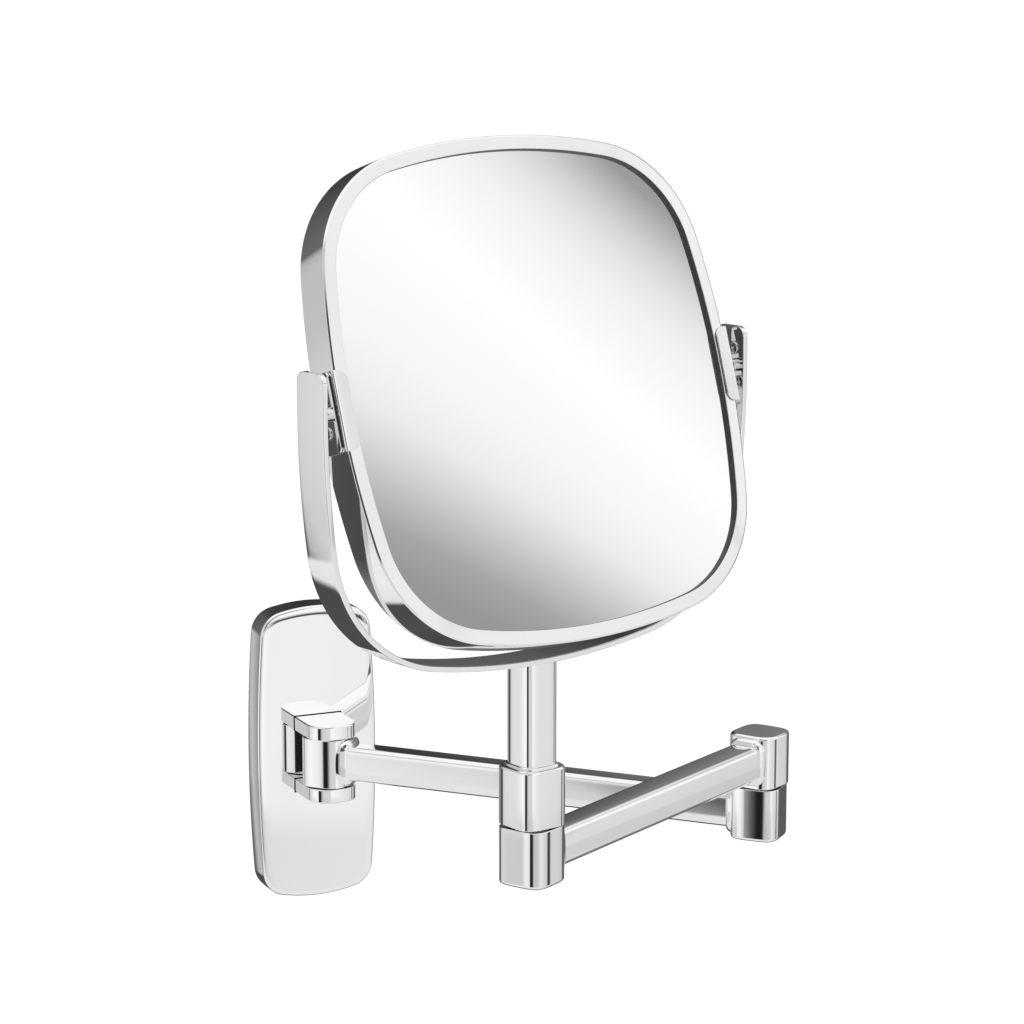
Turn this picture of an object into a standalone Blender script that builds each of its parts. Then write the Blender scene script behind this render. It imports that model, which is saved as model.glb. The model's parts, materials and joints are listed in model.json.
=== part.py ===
"""Extendable shaving mirror: a wall plate, two arms, a fork and a tilting two-sided mirror.

The origin is the middle of the wall bracket's back face. +Z is up and -Y points out of the wall.
Each moving group is modelled around its own joint, in millimetres, and hangs on an empty there.
"""
import math

import bmesh
import bpy
from mathutils import Matrix

MM = 0.001
GAP = 0.3  # clearance kept between neighbouring pieces, mm

# Layout of the joints, mm and degrees
HINGE_OUT = 28.2  # wall hinge axis, in front of the wall
ARM_1_LENGTH = 210.7
ARM_2_LENGTH = 175.9
ARM_1_HEADING = -48.1
ARM_2_HEADING = -149.2
FORK_YAW = 14.0
HEAD_TILT = -17.6
PIVOT_HEIGHT = 208.6

# Knuckles and tubes
KNUCKLE_SIZE = 22.0
KNUCKLE_HEIGHT = 23.4
KNUCKLE_POWER = 4.0
WALL_KNUCKLE_POWER = 3.0
KNUCKLE_EDGE = 0.5
SEAM = 0.6
TUBE_WIDTH = 14.0
TUBE_HEIGHT = 16.2
TUBE_CORNER = 3.0
TUBE_WALL = 1.5
SPIGOT_REACH = 26.0

# Hinge hardware
PIN_RADIUS = 3.0
BOLT_HEAD_RADIUS = 4.6
COUNTERBORE_RADIUS = 5.4
COUNTERBORE_DEPTH = 8.0
WASHER_RADIUS = 7.0
WASHER_SINK = 0.6
BOLT_HEAD_HEIGHT = 4.0
BOLT_HEX = 4.0
BOLT_HEX_DEPTH = 2.4
BOLT_REACH = 15.5  # how far the elbow bolt goes into the upper knuckle
SWIVEL_BOLT_REACH = 13.5
SPRING_WASHER_ROOM = 1.4

# Wall plate
COVER_HALF_WIDTH = 29.45
COVER_HALF_HEIGHT = 69.9
COVER_SIDE_ARC = 777.0
COVER_END_ARC = 81.0
COVER_CORNER = 12.0
COVER_DEPTH = 14.5
COVER_WALL = 2.1
COVER_EDGE = 1.6
BRACKET_THICKNESS = 2.0
BRACKET_HALF_WIDTH = 19.0
BRACKET_HALF_HEIGHT = 60.0
BRACKET_FLANGE = 10.0
WALL_SCREW_SPACING = 84.0
WALL_SCREW_HOLE_RADIUS = 2.7
BRACKET_FLANGE_HALF_WIDTH = 10.0
BRACKET_CORNER = 5.0
EAR_THICKNESS = 6.4
EAR_HALF_WIDTH = 11.6
EAR_NOSE = 12.2
EAR_POWER = 2.7
CLEVIS_FOOT_BACK = 6.2
CLEVIS_FOOT_THICKNESS = 2.8
CLEVIS_FOOT_HALF_HEIGHT = 32.0
CLEVIS_SCREW_HEIGHT = 26.0
CLEVIS_SCREW_RADIUS = 1.6
CLEVIS_SCREW_HEAD_RADIUS = 3.8
CLEVIS_SCREW_HEAD_HEIGHT = 2.4
CLEVIS_BOSS_RADIUS = 4.5
END_BOSS_HALF_WIDTH = 5.0
GRUB_RADIUS = 2.0
GRUB_OUT = 7.0  # grub screw axis, in front of the wall
GRUB_HEX = 2.0

# Fork
COLLAR_HEIGHT = 24.0
STEM_SIZE = 16.2
FORK_HALF_WIDTH = 103.9
FORK_HALF_HEIGHT = 106.5
FORK_SIDE_ARC = 385.0
FORK_BOTTOM_ARC = 298.0
FORK_CORNER = 57.4
FORK_THICKNESS = 2.3
FORK_DEPTH = 16.8
FORK_ARM_RISE = 16.3
FORK_TIP_CORNER = 4.0
COLLAR_EDGE = 1.2
STEM_EDGE = 0.4
STEM_SPIGOT_RADIUS = 6.0
STEM_SPIGOT_LENGTH = 6.5
FORK_SCREW_RADIUS = 2.0
FORK_SCREW_HEAD_RADIUS = 3.6
FORK_SCREW_LENGTH = 16.0
FORK_SCREW_SINK = 0.3

# Mirror head
HEAD_HALF_WIDTH = 95.4
HEAD_HALF_HEIGHT = 98.2
HEAD_SIDE_ARC = 336.0
HEAD_TOP_ARC = 265.0
HEAD_CORNER = 49.2
HEAD_DEPTH = 15.7
HEAD_EDGE = 1.0
BEZEL_WIDTH = 5.7
BEZEL_THICKNESS = 1.7
SHELL_WALL = 1.2
GLASS_RECESS = 2.0
GLASS_THICKNESS = 2.0
MAGNIFIER_RADIUS = 1000.0
SADDLE_HEIGHT = 30.0
SADDLE_WIDTH = 6.3
SADDLE_THICKNESS = 0.9
SADDLE_BEND = 1.0  # outside radius
SADDLE_CORNER = 4.0
SPACER_INSETS = (3.2, 12.0)
MAGNIFIER_INSET = 2.9
SKIRT_THICKNESS = 1.0
LIP_THICKNESS = 1.5

# Tilt pivots
PIVOT_PLATE_WIDTH = 13.2
PIVOT_PLATE_THICKNESS = 0.7
PIVOT_PLATE_CORNER = 2.0
PIVOT_SCREW_SPACING = 14.0
PIVOT_SCREW_RADIUS = 1.3
PIVOT_SCREW_HEAD_RADIUS = 2.75
PIVOT_SCREW_HEAD_HEIGHT = 1.3
STUD_RADIUS = 1.95
STUD_HEAD_RADIUS = 3.2
STUD_GRIP = 1.4  # how far the stud goes into the fork's arm
BUSH_INNER_RADIUS = 2.2
BUSH_OUTER_RADIUS = 2.7
REST = 0.2  # between pieces that are clamped on each other

ROUND_STEPS = 20
UPRIGHT = Matrix.Rotation(math.radians(90), 4, "X")  # outline's y to z, thickness to y
ALONG_X = Matrix.Rotation(math.radians(90), 4, "Y")  # a turned piece's z to x

MATERIALS = {
    "chrome": ((0.80, 0.81, 0.82), 0.06, 1.0),
    "zinc": ((0.55, 0.56, 0.58), 0.35, 1.0),
    "steel": ((0.62, 0.62, 0.64), 0.25, 1.0),
    "mirror": ((0.88, 0.90, 0.90), 0.02, 1.0),
    "nylon": ((0.85, 0.85, 0.82), 0.45, 0.0),
    "black_plastic": ((0.05, 0.05, 0.05), 0.5, 0.0),
}


def collection(name):
    made = bpy.data.collections.new(name)
    bpy.context.scene.collection.children.link(made)
    return made


def clear_scene():
    for old in list(bpy.data.objects):
        bpy.data.objects.remove(old, do_unlink=True)


def material(kind, name):
    colour, roughness, metallic = MATERIALS[kind]
    made = bpy.data.materials.new(name)
    made.use_nodes = True
    shader = made.node_tree.nodes["Principled BSDF"]
    shader.inputs["Base Color"].default_value = (*colour, 1.0)
    shader.inputs["Roughness"].default_value = roughness
    shader.inputs["Metallic"].default_value = metallic
    return made


# Outlines, as lists of (x, y) in mm that run anticlockwise


def superellipse(half_x, half_y, power, count=32, start=0.0, turn=2 * math.pi):
    points = []
    for i in range(count):
        angle = start + turn * i / count
        c, s = math.cos(angle), math.sin(angle)
        x = half_x * math.copysign(abs(c) ** (2 / power), c)
        y = half_y * math.copysign(abs(s) ** (2 / power), s)
        points.append((x, y))
    return points


def arc(centre, radius, start, end, steps):
    """Points on an arc, from one angle to another in radians, both ends included."""
    angles = [start + (end - start) * i / steps for i in range(steps + 1)]
    return [(centre[0] + radius * math.cos(a), centre[1] + radius * math.sin(a)) for a in angles]


def rounded_rectangle(half_x, half_y, corner, steps=4):
    points = []
    for quarter, (sx, sy) in enumerate(((1, 1), (-1, 1), (-1, -1), (1, -1))):
        centre = (sx * (half_x - corner), sy * (half_y - corner))
        start = quarter * math.pi / 2
        points += arc(centre, corner, start, start + math.pi / 2, steps)
    return points


def corner_centre(half_width, half_height, side_arc, top_arc, corner):
    """Where a corner arc touches both the side arc and the top arc, by alternating projection."""
    x, y = half_width - corner, half_height - corner
    side_x, top_y = half_width - side_arc, half_height - top_arc
    for _ in range(200):
        x = side_x + math.sqrt((side_arc - corner) ** 2 - y * y)
        y = top_y + math.sqrt((top_arc - corner) ** 2 - x * x)
    return x, y


def arched_quarter(shape, inset=0.0, corner_steps=8, side_steps=3):
    """The upper right quarter of a square whose sides are shallow arcs, from its side to its top."""
    half_width, half_height, side_arc, top_arc, corner = shape
    x, y = corner_centre(*shape)
    side_x, top_y = half_width - side_arc, half_height - top_arc
    low = math.atan2(y, x - side_x)
    high = math.atan2(y - top_y, x)
    points = arc((side_x, 0), side_arc - inset, 0, low, side_steps)
    points += arc((x, y), corner - inset, low, high, corner_steps)[1:]
    points += arc((0, top_y), top_arc - inset, high, math.pi / 2, side_steps)[1:]
    return points


def arched_square(shape, inset=0.0, corner_steps=8, side_steps=3):
    quarter = arched_quarter(shape, inset, corner_steps, side_steps)
    right = [(x, -y) for x, y in quarter[:0:-1]] + quarter
    left = [(-x, -y) for x, y in right[1:-1]]
    return right + left


COVER_SHAPE = (COVER_HALF_WIDTH, COVER_HALF_HEIGHT, COVER_SIDE_ARC, COVER_END_ARC, COVER_CORNER)
FORK_SHAPE = (FORK_HALF_WIDTH, FORK_HALF_HEIGHT, FORK_SIDE_ARC, FORK_BOTTOM_ARC, FORK_CORNER)
HEAD_SHAPE = (HEAD_HALF_WIDTH, HEAD_HALF_HEIGHT, HEAD_SIDE_ARC, HEAD_TOP_ARC, HEAD_CORNER)


# Solids. Each takes sizes in mm and returns a mesh object whose data is in metres


def curve_object(name, outlines, fill):
    curve = bpy.data.curves.new(name, "CURVE")
    curve.dimensions = "2D"
    curve.fill_mode = fill
    for outline in outlines:
        spline = curve.splines.new("POLY")
        spline.points.add(len(outline) - 1)
        for point, (x, y) in zip(spline.points, outline):
            point.co = (x * MM, y * MM, 0, 1)
        spline.use_cyclic_u = True
    made = bpy.data.objects.new(name, curve)
    bpy.context.scene.collection.objects.link(made)
    return made


def as_mesh(curve_objects, turn=None):
    """Turns the first curve object into a welded mesh object of the same name and drops them all."""
    source = curve_objects[0]
    name = source.name
    bpy.context.view_layer.update()
    graph = bpy.context.evaluated_depsgraph_get()
    mesh = bpy.data.meshes.new_from_object(source.evaluated_get(graph))
    work = bmesh.new()
    work.from_mesh(mesh)
    bmesh.ops.remove_doubles(work, verts=work.verts, dist=1e-7)
    bmesh.ops.recalc_face_normals(work, faces=work.faces)
    work.to_mesh(mesh)
    work.free()
    if turn is not None:
        mesh.transform(turn)
    for old in curve_objects:
        bpy.data.objects.remove(old, do_unlink=True)
    made = bpy.data.objects.new(name, mesh)
    bpy.context.scene.collection.objects.link(made)
    return made


def slab(name, outlines, low, high, turn=None):
    """An outline, or an outer one with its holes, that fills low to high across its plane."""
    flat = curve_object(name, outlines, "BOTH")
    flat.data.extrude = (high - low) / 2 * MM
    lift = Matrix.Translation((0, 0, (high + low) / 2 * MM))
    return as_mesh([flat], lift if turn is None else turn @ lift)


def upright_slab(name, outlines, front, back):
    """The same for an outline in x and z, with its thickness from front to back along y."""
    return slab(name, outlines, -back, -front, UPRIGHT)


def swept_ring(name, path, section):
    """A ring along an upright path, from a section of (distance inwards, y) points."""
    ring = curve_object(name, [path], "NONE")
    profile = curve_object(name + "_section", [[(inward, -y) for inward, y in section]], "NONE")
    ring.data.bevel_mode = "OBJECT"
    ring.data.bevel_object = profile
    return as_mesh([ring, profile], UPRIGHT)


def turned(name, profile, turn=None, steps=ROUND_STEPS, ring=False):
    """A turned piece. The profile's (radius, z) points run down its outer side."""
    mesh = bpy.data.meshes.new(name)
    edges = [(i, i + 1) for i in range(len(profile) - 1)]
    if ring:
        edges.append((len(profile) - 1, 0))
    mesh.from_pydata([(r * MM, 0, z * MM) for r, z in profile], edges, [])
    made = bpy.data.objects.new(name, mesh)
    bpy.context.scene.collection.objects.link(made)
    screw = made.modifiers.new("turn", "SCREW")
    screw.steps = steps
    screw.render_steps = steps
    screw.use_merge_vertices = True
    screw.merge_threshold = 0.00001
    screw.use_smooth_shade = True
    return as_mesh([made], turn)


def washer(name, inner, outer, low, high, turn=None, steps=ROUND_STEPS):
    profile = [(outer, high), (outer, low), (inner, low), (inner, high)]
    return turned(name, profile, turn, steps, ring=True)


def rod(name, radius, low, high, turn=None, steps=ROUND_STEPS):
    return turned(name, [(0, high), (radius, high), (radius, low), (0, low)], turn, steps)


def block(name, low, high):
    """A box between two corners."""
    mesh = bpy.data.meshes.new(name)
    work = bmesh.new()
    bmesh.ops.create_cube(work, size=1.0)
    size = [(b - a) * MM for a, b in zip(low, high)]
    middle = [(a + b) / 2 * MM for a, b in zip(low, high)]
    bmesh.ops.scale(work, vec=size, verts=work.verts)
    bmesh.ops.translate(work, vec=middle, verts=work.verts)
    work.to_mesh(mesh)
    work.free()
    made = bpy.data.objects.new(name, mesh)
    bpy.context.scene.collection.objects.link(made)
    return made


def soften(piece, width, segments=2, angle=40):
    bevel = piece.modifiers.new("rounded edges", "BEVEL")
    bevel.width = width * MM
    bevel.segments = segments
    bevel.limit_method = "ANGLE"
    bevel.angle_limit = math.radians(angle)
    return piece


def combine(piece, tool, operation):
    """Adds a Boolean modifier and files its tool with the hidden ones."""
    boolean = piece.modifiers.new(tool.name, "BOOLEAN")
    boolean.operation = operation
    boolean.solver = "EXACT"
    boolean.object = tool
    tool.hide_render = True
    tool.display_type = "WIRE"
    tool.parent = piece
    TOOLS.append(tool)
    return piece


def cut(piece, *tools):
    for tool in tools:
        combine(piece, tool, "DIFFERENCE")
    return piece


def join(piece, *tools):
    for tool in tools:
        combine(piece, tool, "UNION")
    return piece


def finish(piece, kind, joint):
    """Gives a piece its material and shading, files it and hangs it on its joint."""
    piece.data.materials.clear()
    piece.data.materials.append(material(kind, piece.name))
    piece.data.shade_smooth()
    piece.data.set_sharp_from_angle(angle=math.radians(35))
    piece.parent = joint
    PIECES.append(piece)
    return piece


def joint_empty(name, parent, location, rotation):
    made = bpy.data.objects.new(name, None)
    made.empty_display_size = 0.02
    made.location = [value * MM for value in location]
    made.rotation_euler = [math.radians(value) for value in rotation]
    made.parent = parent
    PIECES.append(made)
    return made


def hex_prism(name, across_flats, low, high):
    radius = across_flats / math.sqrt(3)
    points = arc((0, 0), radius, 0, 2 * math.pi * 5 / 6, 5)
    return slab(name, [points], low, high)


def cross_recess(reach, half_width, low, high):
    """The two crossed slots of a cross-head screw, as cutters."""
    first = block("recess", (-reach, -half_width, low), (reach, half_width, high))
    second = block("recess", (-half_width, -reach, low), (half_width, reach, high))
    return [first, second]


# Wall plate


def build_wall_bracket(joint):
    """The steel plate that the installer screws to the wall; the cover hangs over its flanges."""
    half_w, half_h = BRACKET_HALF_WIDTH, BRACKET_HALF_HEIGHT
    spacing = WALL_SCREW_SPACING / 2
    radius = WALL_SCREW_HOLE_RADIUS
    holes = [arc((0, side * spacing), radius, 0, 2 * math.pi * 23 / 24, 23) for side in (-1, 1)]
    outline = rounded_rectangle(half_w, half_h, BRACKET_CORNER)
    plate = upright_slab("wall_bracket", [outline] + holes, -BRACKET_THICKNESS, 0)
    for side in (-1, 1):
        low, high = sorted((side * half_h, side * (half_h - BRACKET_THICKNESS)))
        reach = BRACKET_FLANGE_HALF_WIDTH
        join(plate, block("flange", (-reach, -BRACKET_FLANGE, low), (reach, -BRACKET_THICKNESS / 2, high)))
    finish(plate, "zinc", joint)


def ear_span(side):
    inner = KNUCKLE_HEIGHT / 2
    return sorted((side * inner, side * (inner + EAR_THICKNESS)))


def build_wall_cover(joint):
    """A die-cast chrome shell, open at the wall, with bosses inside and two slots for the ears."""
    front_inside = -COVER_DEPTH + COVER_WALL
    outline = arched_square(COVER_SHAPE, 0.0, 6, 2)
    shell = upright_slab("wall_cover", [outline], -COVER_DEPTH, 3 * COVER_EDGE)
    soften(shell, COVER_EDGE, 3)
    reach = 2 * COVER_HALF_HEIGHT
    cut(shell, block("wall_plane", (-reach, 0, -reach), (reach, 10 * COVER_EDGE, reach)))
    hollow_outline = arched_square(COVER_SHAPE, COVER_WALL, 6, 2)
    cut(shell, upright_slab("cover_hollow", [hollow_outline], front_inside, 2 * COVER_EDGE))
    for side in (-1, 1):
        height = side * CLEVIS_SCREW_HEIGHT
        foot_front = -CLEVIS_FOOT_BACK - CLEVIS_FOOT_THICKNESS - GAP
        bore = CLEVIS_SCREW_RADIUS + GAP
        boss = washer("screw_boss", bore, CLEVIS_BOSS_RADIUS, front_inside - 1, foot_front, UPRIGHT.inverted())
        boss.data.transform(Matrix.Translation((0, 0, height * MM)))
        join(shell, boss)
        low, high = sorted((side * (BRACKET_HALF_HEIGHT + 2 * GAP), side * (COVER_HALF_HEIGHT - 1)))
        half = END_BOSS_HALF_WIDTH
        join(shell, block("end_boss", (-half, front_inside - 1, low), (half, -3, high)))
        low, high = ear_span(side)
        reach = EAR_HALF_WIDTH + GAP
        slot_low = (-reach, -COVER_DEPTH - 1, low - GAP)
        slot_high = (reach, front_inside + 1, high + GAP)
        cut(shell, block("ear_slot", slot_low, slot_high))
    grub_place = Matrix.Translation((0, -GRUB_OUT * MM, 0))
    bottom = -COVER_HALF_HEIGHT
    grub_hole = rod("grub_thread", GRUB_RADIUS + GAP, bottom - 2, -BRACKET_HALF_HEIGHT + 1)
    grub_hole.data.transform(grub_place)
    cut(shell, grub_hole)
    finish(shell, "chrome", joint)
    grub = rod("cover_grub_screw", GRUB_RADIUS, bottom + 0.8, -BRACKET_HALF_HEIGHT - GAP)
    grub.data.transform(grub_place)
    socket = hex_prism("grub_socket", GRUB_HEX, bottom - 1, bottom + 3.5)
    socket.data.transform(grub_place)
    finish(cut(grub, socket), "steel", joint)


def ear_outline():
    """Plan of one ear: straight from the clevis foot to the hinge, then a full round nose."""
    back = -CLEVIS_FOOT_BACK - 1
    nose = superellipse(EAR_HALF_WIDTH, EAR_NOSE, EAR_POWER, 17, math.pi, math.pi * 17 / 16)
    return [(EAR_HALF_WIDTH, back), (-EAR_HALF_WIDTH, back)] + [(x, y - HINGE_OUT) for x, y in nose]


def build_clevis(joint):
    """The hinge fork: a foot behind the cover's front wall and two ears that come out of its slots."""
    foot_back = -CLEVIS_FOOT_BACK
    foot_front = foot_back - CLEVIS_FOOT_THICKNESS
    low = (-EAR_HALF_WIDTH, foot_front, -CLEVIS_FOOT_HALF_HEIGHT)
    high = (EAR_HALF_WIDTH, foot_back, CLEVIS_FOOT_HALF_HEIGHT)
    clevis = block("hinge_clevis", low, high)
    for side in (-1, 1):
        join(clevis, soften(slab("ear", [ear_outline()], *ear_span(side)), KNUCKLE_EDGE))
        radius = CLEVIS_SCREW_RADIUS + 2 * GAP
        hole = rod("foot_hole", radius, foot_front - 1, foot_back + 1, UPRIGHT.inverted())
        hole.data.transform(Matrix.Translation((0, 0, side * CLEVIS_SCREW_HEIGHT * MM)))
        cut(clevis, hole)
    bore = rod("pin_hole", PIN_RADIUS + GAP, -30, pin_top() + GAP)
    bore.data.transform(Matrix.Translation((0, -HINGE_OUT * MM, 0)))
    cut(clevis, bore)
    finish(clevis, "chrome", joint)
    for side, place in ((1, "upper"), (-1, "lower")):
        seat = foot_back + GAP
        head_back = seat + CLEVIS_SCREW_HEAD_HEIGHT
        tip = -COVER_DEPTH + COVER_WALL + GAP
        radius = CLEVIS_SCREW_HEAD_RADIUS
        profile = [(0, head_back), (radius - 1.2, head_back), (radius, head_back - 1), (radius, seat)]
        profile += [(CLEVIS_SCREW_RADIUS, seat), (CLEVIS_SCREW_RADIUS, tip), (0, tip)]
        screw = turned("clevis_screw_" + place, profile, None, 24)
        recess = cross_recess(1.9, 0.45, head_back - 1.2, head_back + 1)
        place_in = Matrix.Translation((0, 0, side * CLEVIS_SCREW_HEIGHT * MM)) @ UPRIGHT.inverted()
        for piece in [screw] + recess:
            piece.data.transform(place_in)
        finish(cut(screw, *recess), "steel", joint)


def pin_top():
    return KNUCKLE_HEIGHT / 2 + EAR_THICKNESS / 2


def build_hinge_pin(joint):
    """A press pin, driven in from below and hidden by the upper ear, with a nylon washer each side."""
    bottom = -KNUCKLE_HEIGHT / 2 - EAR_THICKNESS + 0.2
    profile = [(0, pin_top()), (PIN_RADIUS - 0.5, pin_top()), (PIN_RADIUS, pin_top() - 0.5)]
    profile += [(PIN_RADIUS, bottom), (0, bottom)]
    finish(turned("hinge_pin", profile), "steel", joint)
    inner = PIN_RADIUS + GAP
    face = KNUCKLE_HEIGHT / 2
    for side, place in ((1, "upper"), (-1, "lower")):
        low, high = sorted((side * (face - 1.0), side * (face - 0.2)))
        finish(washer("hinge_washer_" + place, inner, WASHER_RADIUS, low, high), "nylon", joint)


# Arms


def knuckle(name, power, low, high, spigot_side=0):
    """A squarish round block on a vertical axis, with a spigot that fills the end of its tube."""
    half = KNUCKLE_SIZE / 2
    body = slab(name, [superellipse(half, half, power)], low, high)
    soften(body, KNUCKLE_EDGE)
    if spigot_side:
        middle = (low + high) / 2
        half_w = TUBE_WIDTH / 2 - TUBE_WALL - 2 * GAP
        half_h = TUBE_HEIGHT / 2 - TUBE_WALL - 2 * GAP
        near, far = sorted((spigot_side * (half - 3), spigot_side * SPIGOT_REACH))
        join(body, block("spigot", (near, -half_w, middle - half_h), (far, half_w, middle + half_h)))
    return body


def build_tube(name, length, middle, joint):
    """A hollow square tube along x between two knuckles."""
    outer = rounded_rectangle(TUBE_HEIGHT / 2, TUBE_WIDTH / 2, TUBE_CORNER)
    wall = TUBE_WALL
    inner = rounded_rectangle(TUBE_HEIGHT / 2 - wall, TUBE_WIDTH / 2 - wall, TUBE_CORNER - wall)
    clear = KNUCKLE_SIZE / 2 + GAP
    tube = slab(name, [outer, inner], clear, length - clear, ALONG_X)
    tube.data.transform(Matrix.Translation((0, 0, middle * MM)))
    finish(tube, "chrome", joint)


def build_arm_1(joint, elbow):
    half = KNUCKLE_HEIGHT / 2
    wall_end = knuckle("arm1_wall_knuckle", WALL_KNUCKLE_POWER, -half + GAP, half - GAP, 1)
    bore, recess, floor = PIN_RADIUS + GAP, WASHER_RADIUS + GAP, half - 1.2
    profile = [(0, 20), (recess, 20), (recess, floor), (bore, floor)]
    profile += [(r, -z) for r, z in profile[::-1]]
    cut(wall_end, turned("pin_bore", profile))
    finish(wall_end, "chrome", joint)
    build_tube("arm1_tube", ARM_1_LENGTH, 0, joint)
    far_end = knuckle("arm1_elbow_knuckle", KNUCKLE_POWER, -half, half, -1)
    cut_bolt_seat(far_end, -half, half)
    finish(far_end, "chrome", elbow)


def cut_bolt_seat(body, low, high):
    """Bores a lower knuckle: a counterbore below for the bolt head and a washer recess on top."""
    bore, recess, floor = PIN_RADIUS + GAP, WASHER_RADIUS + GAP, high - WASHER_SINK - REST
    seat = low + COUNTERBORE_DEPTH
    profile = [(0, high + 5), (recess, high + 5), (recess, floor), (bore, floor), (bore, seat)]
    profile += [(COUNTERBORE_RADIUS, seat), (COUNTERBORE_RADIUS, low - 5), (0, low - 5)]
    cut(body, turned("bolt_seat", profile))


def build_bolt_set(prefix, low, high, tip, joint):
    """The bolt, spring washer and friction washer that clamp an upper knuckle on a lower one."""
    seat = low + COUNTERBORE_DEPTH
    head_top = seat - SPRING_WASHER_ROOM
    head_low = head_top - BOLT_HEAD_HEIGHT
    profile = [(0, tip), (PIN_RADIUS - 0.5, tip), (PIN_RADIUS, tip - 0.5), (PIN_RADIUS, head_top)]
    profile += [(BOLT_HEAD_RADIUS, head_top), (BOLT_HEAD_RADIUS, head_low), (0, head_low)]
    bolt = turned(prefix + "_bolt", profile)
    cut(bolt, hex_prism("socket", BOLT_HEX, head_low - 1, head_low + BOLT_HEX_DEPTH))
    finish(bolt, "steel", joint)
    inner = PIN_RADIUS + GAP
    spring = washer(prefix + "_spring_washer", inner, BOLT_HEAD_RADIUS, head_top + GAP, seat - GAP)
    finish(spring, "steel", joint)
    friction = washer(prefix + "_washer", inner, WASHER_RADIUS, high - WASHER_SINK, high + SEAM - REST)
    finish(friction, "nylon", joint)


def build_arm_2(joint, front):
    low = KNUCKLE_HEIGHT / 2 + SEAM
    high = low + KNUCKLE_HEIGHT
    near_end = knuckle("arm2_elbow_knuckle", KNUCKLE_POWER, low, high, 1)
    cut(near_end, rod("bolt_thread", PIN_RADIUS + GAP, low - 5, low + BOLT_REACH + 0.5))
    finish(near_end, "chrome", joint)
    build_bolt_set("elbow", -KNUCKLE_HEIGHT / 2, KNUCKLE_HEIGHT / 2, low + BOLT_REACH, joint)
    build_tube("arm2_tube", ARM_2_LENGTH, (low + high) / 2, joint)
    far_end = knuckle("arm2_front_knuckle", KNUCKLE_POWER, low, high, -1)
    cut_bolt_seat(far_end, low, high)
    finish(far_end, "chrome", front)
    return high


# Fork


def build_collar_and_stem(joint, bolt_low, bolt_high):
    """The swivel block on the front knuckle and the post that carries the fork."""
    low = bolt_high + SEAM
    high = low + COLLAR_HEIGHT
    collar = knuckle("swivel_collar", KNUCKLE_POWER, low, high)
    collar.modifiers.clear()
    soften(collar, COLLAR_EDGE, 3)
    cut(collar, rod("bolt_thread", PIN_RADIUS + GAP, low - 5, low + SWIVEL_BOLT_REACH + 0.5))
    socket_floor = high - STEM_SPIGOT_LENGTH - 0.5
    cut(collar, rod("stem_socket", STEM_SPIGOT_RADIUS + GAP, socket_floor, high + 5))
    finish(collar, "chrome", joint)
    build_bolt_set("swivel", bolt_low, bolt_high, low + SWIVEL_BOLT_REACH, joint)
    fork_bottom = PIVOT_HEIGHT - FORK_HALF_HEIGHT
    half = STEM_SIZE / 2
    stem = slab("stem", [superellipse(half, half, KNUCKLE_POWER)], high + GAP, fork_bottom - GAP)
    soften(stem, STEM_EDGE, 1)
    join(stem, rod("stem_spigot", STEM_SPIGOT_RADIUS, high - STEM_SPIGOT_LENGTH, high + 2))
    thread = FORK_SCREW_RADIUS + GAP
    thread_floor = fork_bottom - FORK_SCREW_LENGTH - 2
    cut(stem, rod("screw_thread", thread, thread_floor, fork_bottom + 5, None, 24))
    finish(stem, "chrome", joint)


def fork_outline():
    """A U in x and z: the lower half of an arched square, with its ends carried straight up."""
    outer = fork_run(0.0)
    inner = fork_run(FORK_THICKNESS)
    return outer + inner[::-1]


def fork_run(inset):
    quarter = arched_quarter(FORK_SHAPE, inset, 9, 4)
    lower = [(-x, -y) for x, y in quarter] + [(x, -y) for x, y in quarter[-2::-1]]
    rise = FORK_ARM_RISE
    points = [(lower[0][0], rise)] + lower + [(lower[-1][0], rise)]
    return [(x, y + PIVOT_HEIGHT) for x, y in points]


def fork_side_profile():
    """The band's side view, in y and z: its depth, with rounded corners at the tips."""
    half = FORK_DEPTH / 2
    top = PIVOT_HEIGHT + FORK_ARM_RISE
    corner = FORK_TIP_CORNER
    right = arc((half - corner, top - corner), corner, 0, math.pi / 2, 6)
    left = arc((-half + corner, top - corner), corner, math.pi / 2, math.pi, 6)
    return [(half, 0)] + right + left + [(-half, 0)]


def build_fork(joint):
    band = upright_slab("fork_band", [fork_outline()], -FORK_DEPTH / 2, FORK_DEPTH / 2)
    turn = Matrix.Rotation(math.radians(90), 4, "Z") @ UPRIGHT
    trim = slab("tip_trim", [fork_side_profile()], -120, 120, turn)
    combine(band, trim, "INTERSECT")
    floor = PIVOT_HEIGHT - FORK_HALF_HEIGHT + FORK_THICKNESS
    bore = FORK_SCREW_RADIUS + GAP
    sink = [(0, floor + 2), (bore + 4, floor + 2), (bore, floor - 2), (bore, floor - 5), (0, floor - 5)]
    cut(band, turned("countersink", sink, None, 24))
    for side in (-1, 1):
        inner = FORK_HALF_WIDTH - FORK_THICKNESS
        socket = rod("stud_socket", STUD_RADIUS + GAP, inner - 3, inner + STUD_GRIP + GAP, ALONG_X, 16)
        move_to_pivot(socket, side)
        cut(band, socket)
    finish(band, "chrome", joint)
    top = floor - FORK_SCREW_SINK
    under_head = top - FORK_SCREW_HEAD_RADIUS + FORK_SCREW_RADIUS
    tip = floor - FORK_SCREW_LENGTH
    screw = [(0, top), (FORK_SCREW_HEAD_RADIUS, top), (FORK_SCREW_RADIUS, under_head)]
    screw += [(FORK_SCREW_RADIUS, tip), (0, tip)]
    fork_screw = turned("fork_screw", screw, None, 24)
    finish(cut(fork_screw, *cross_recess(2.2, 0.5, top - 1.6, top + 1)), "steel", joint)


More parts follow.
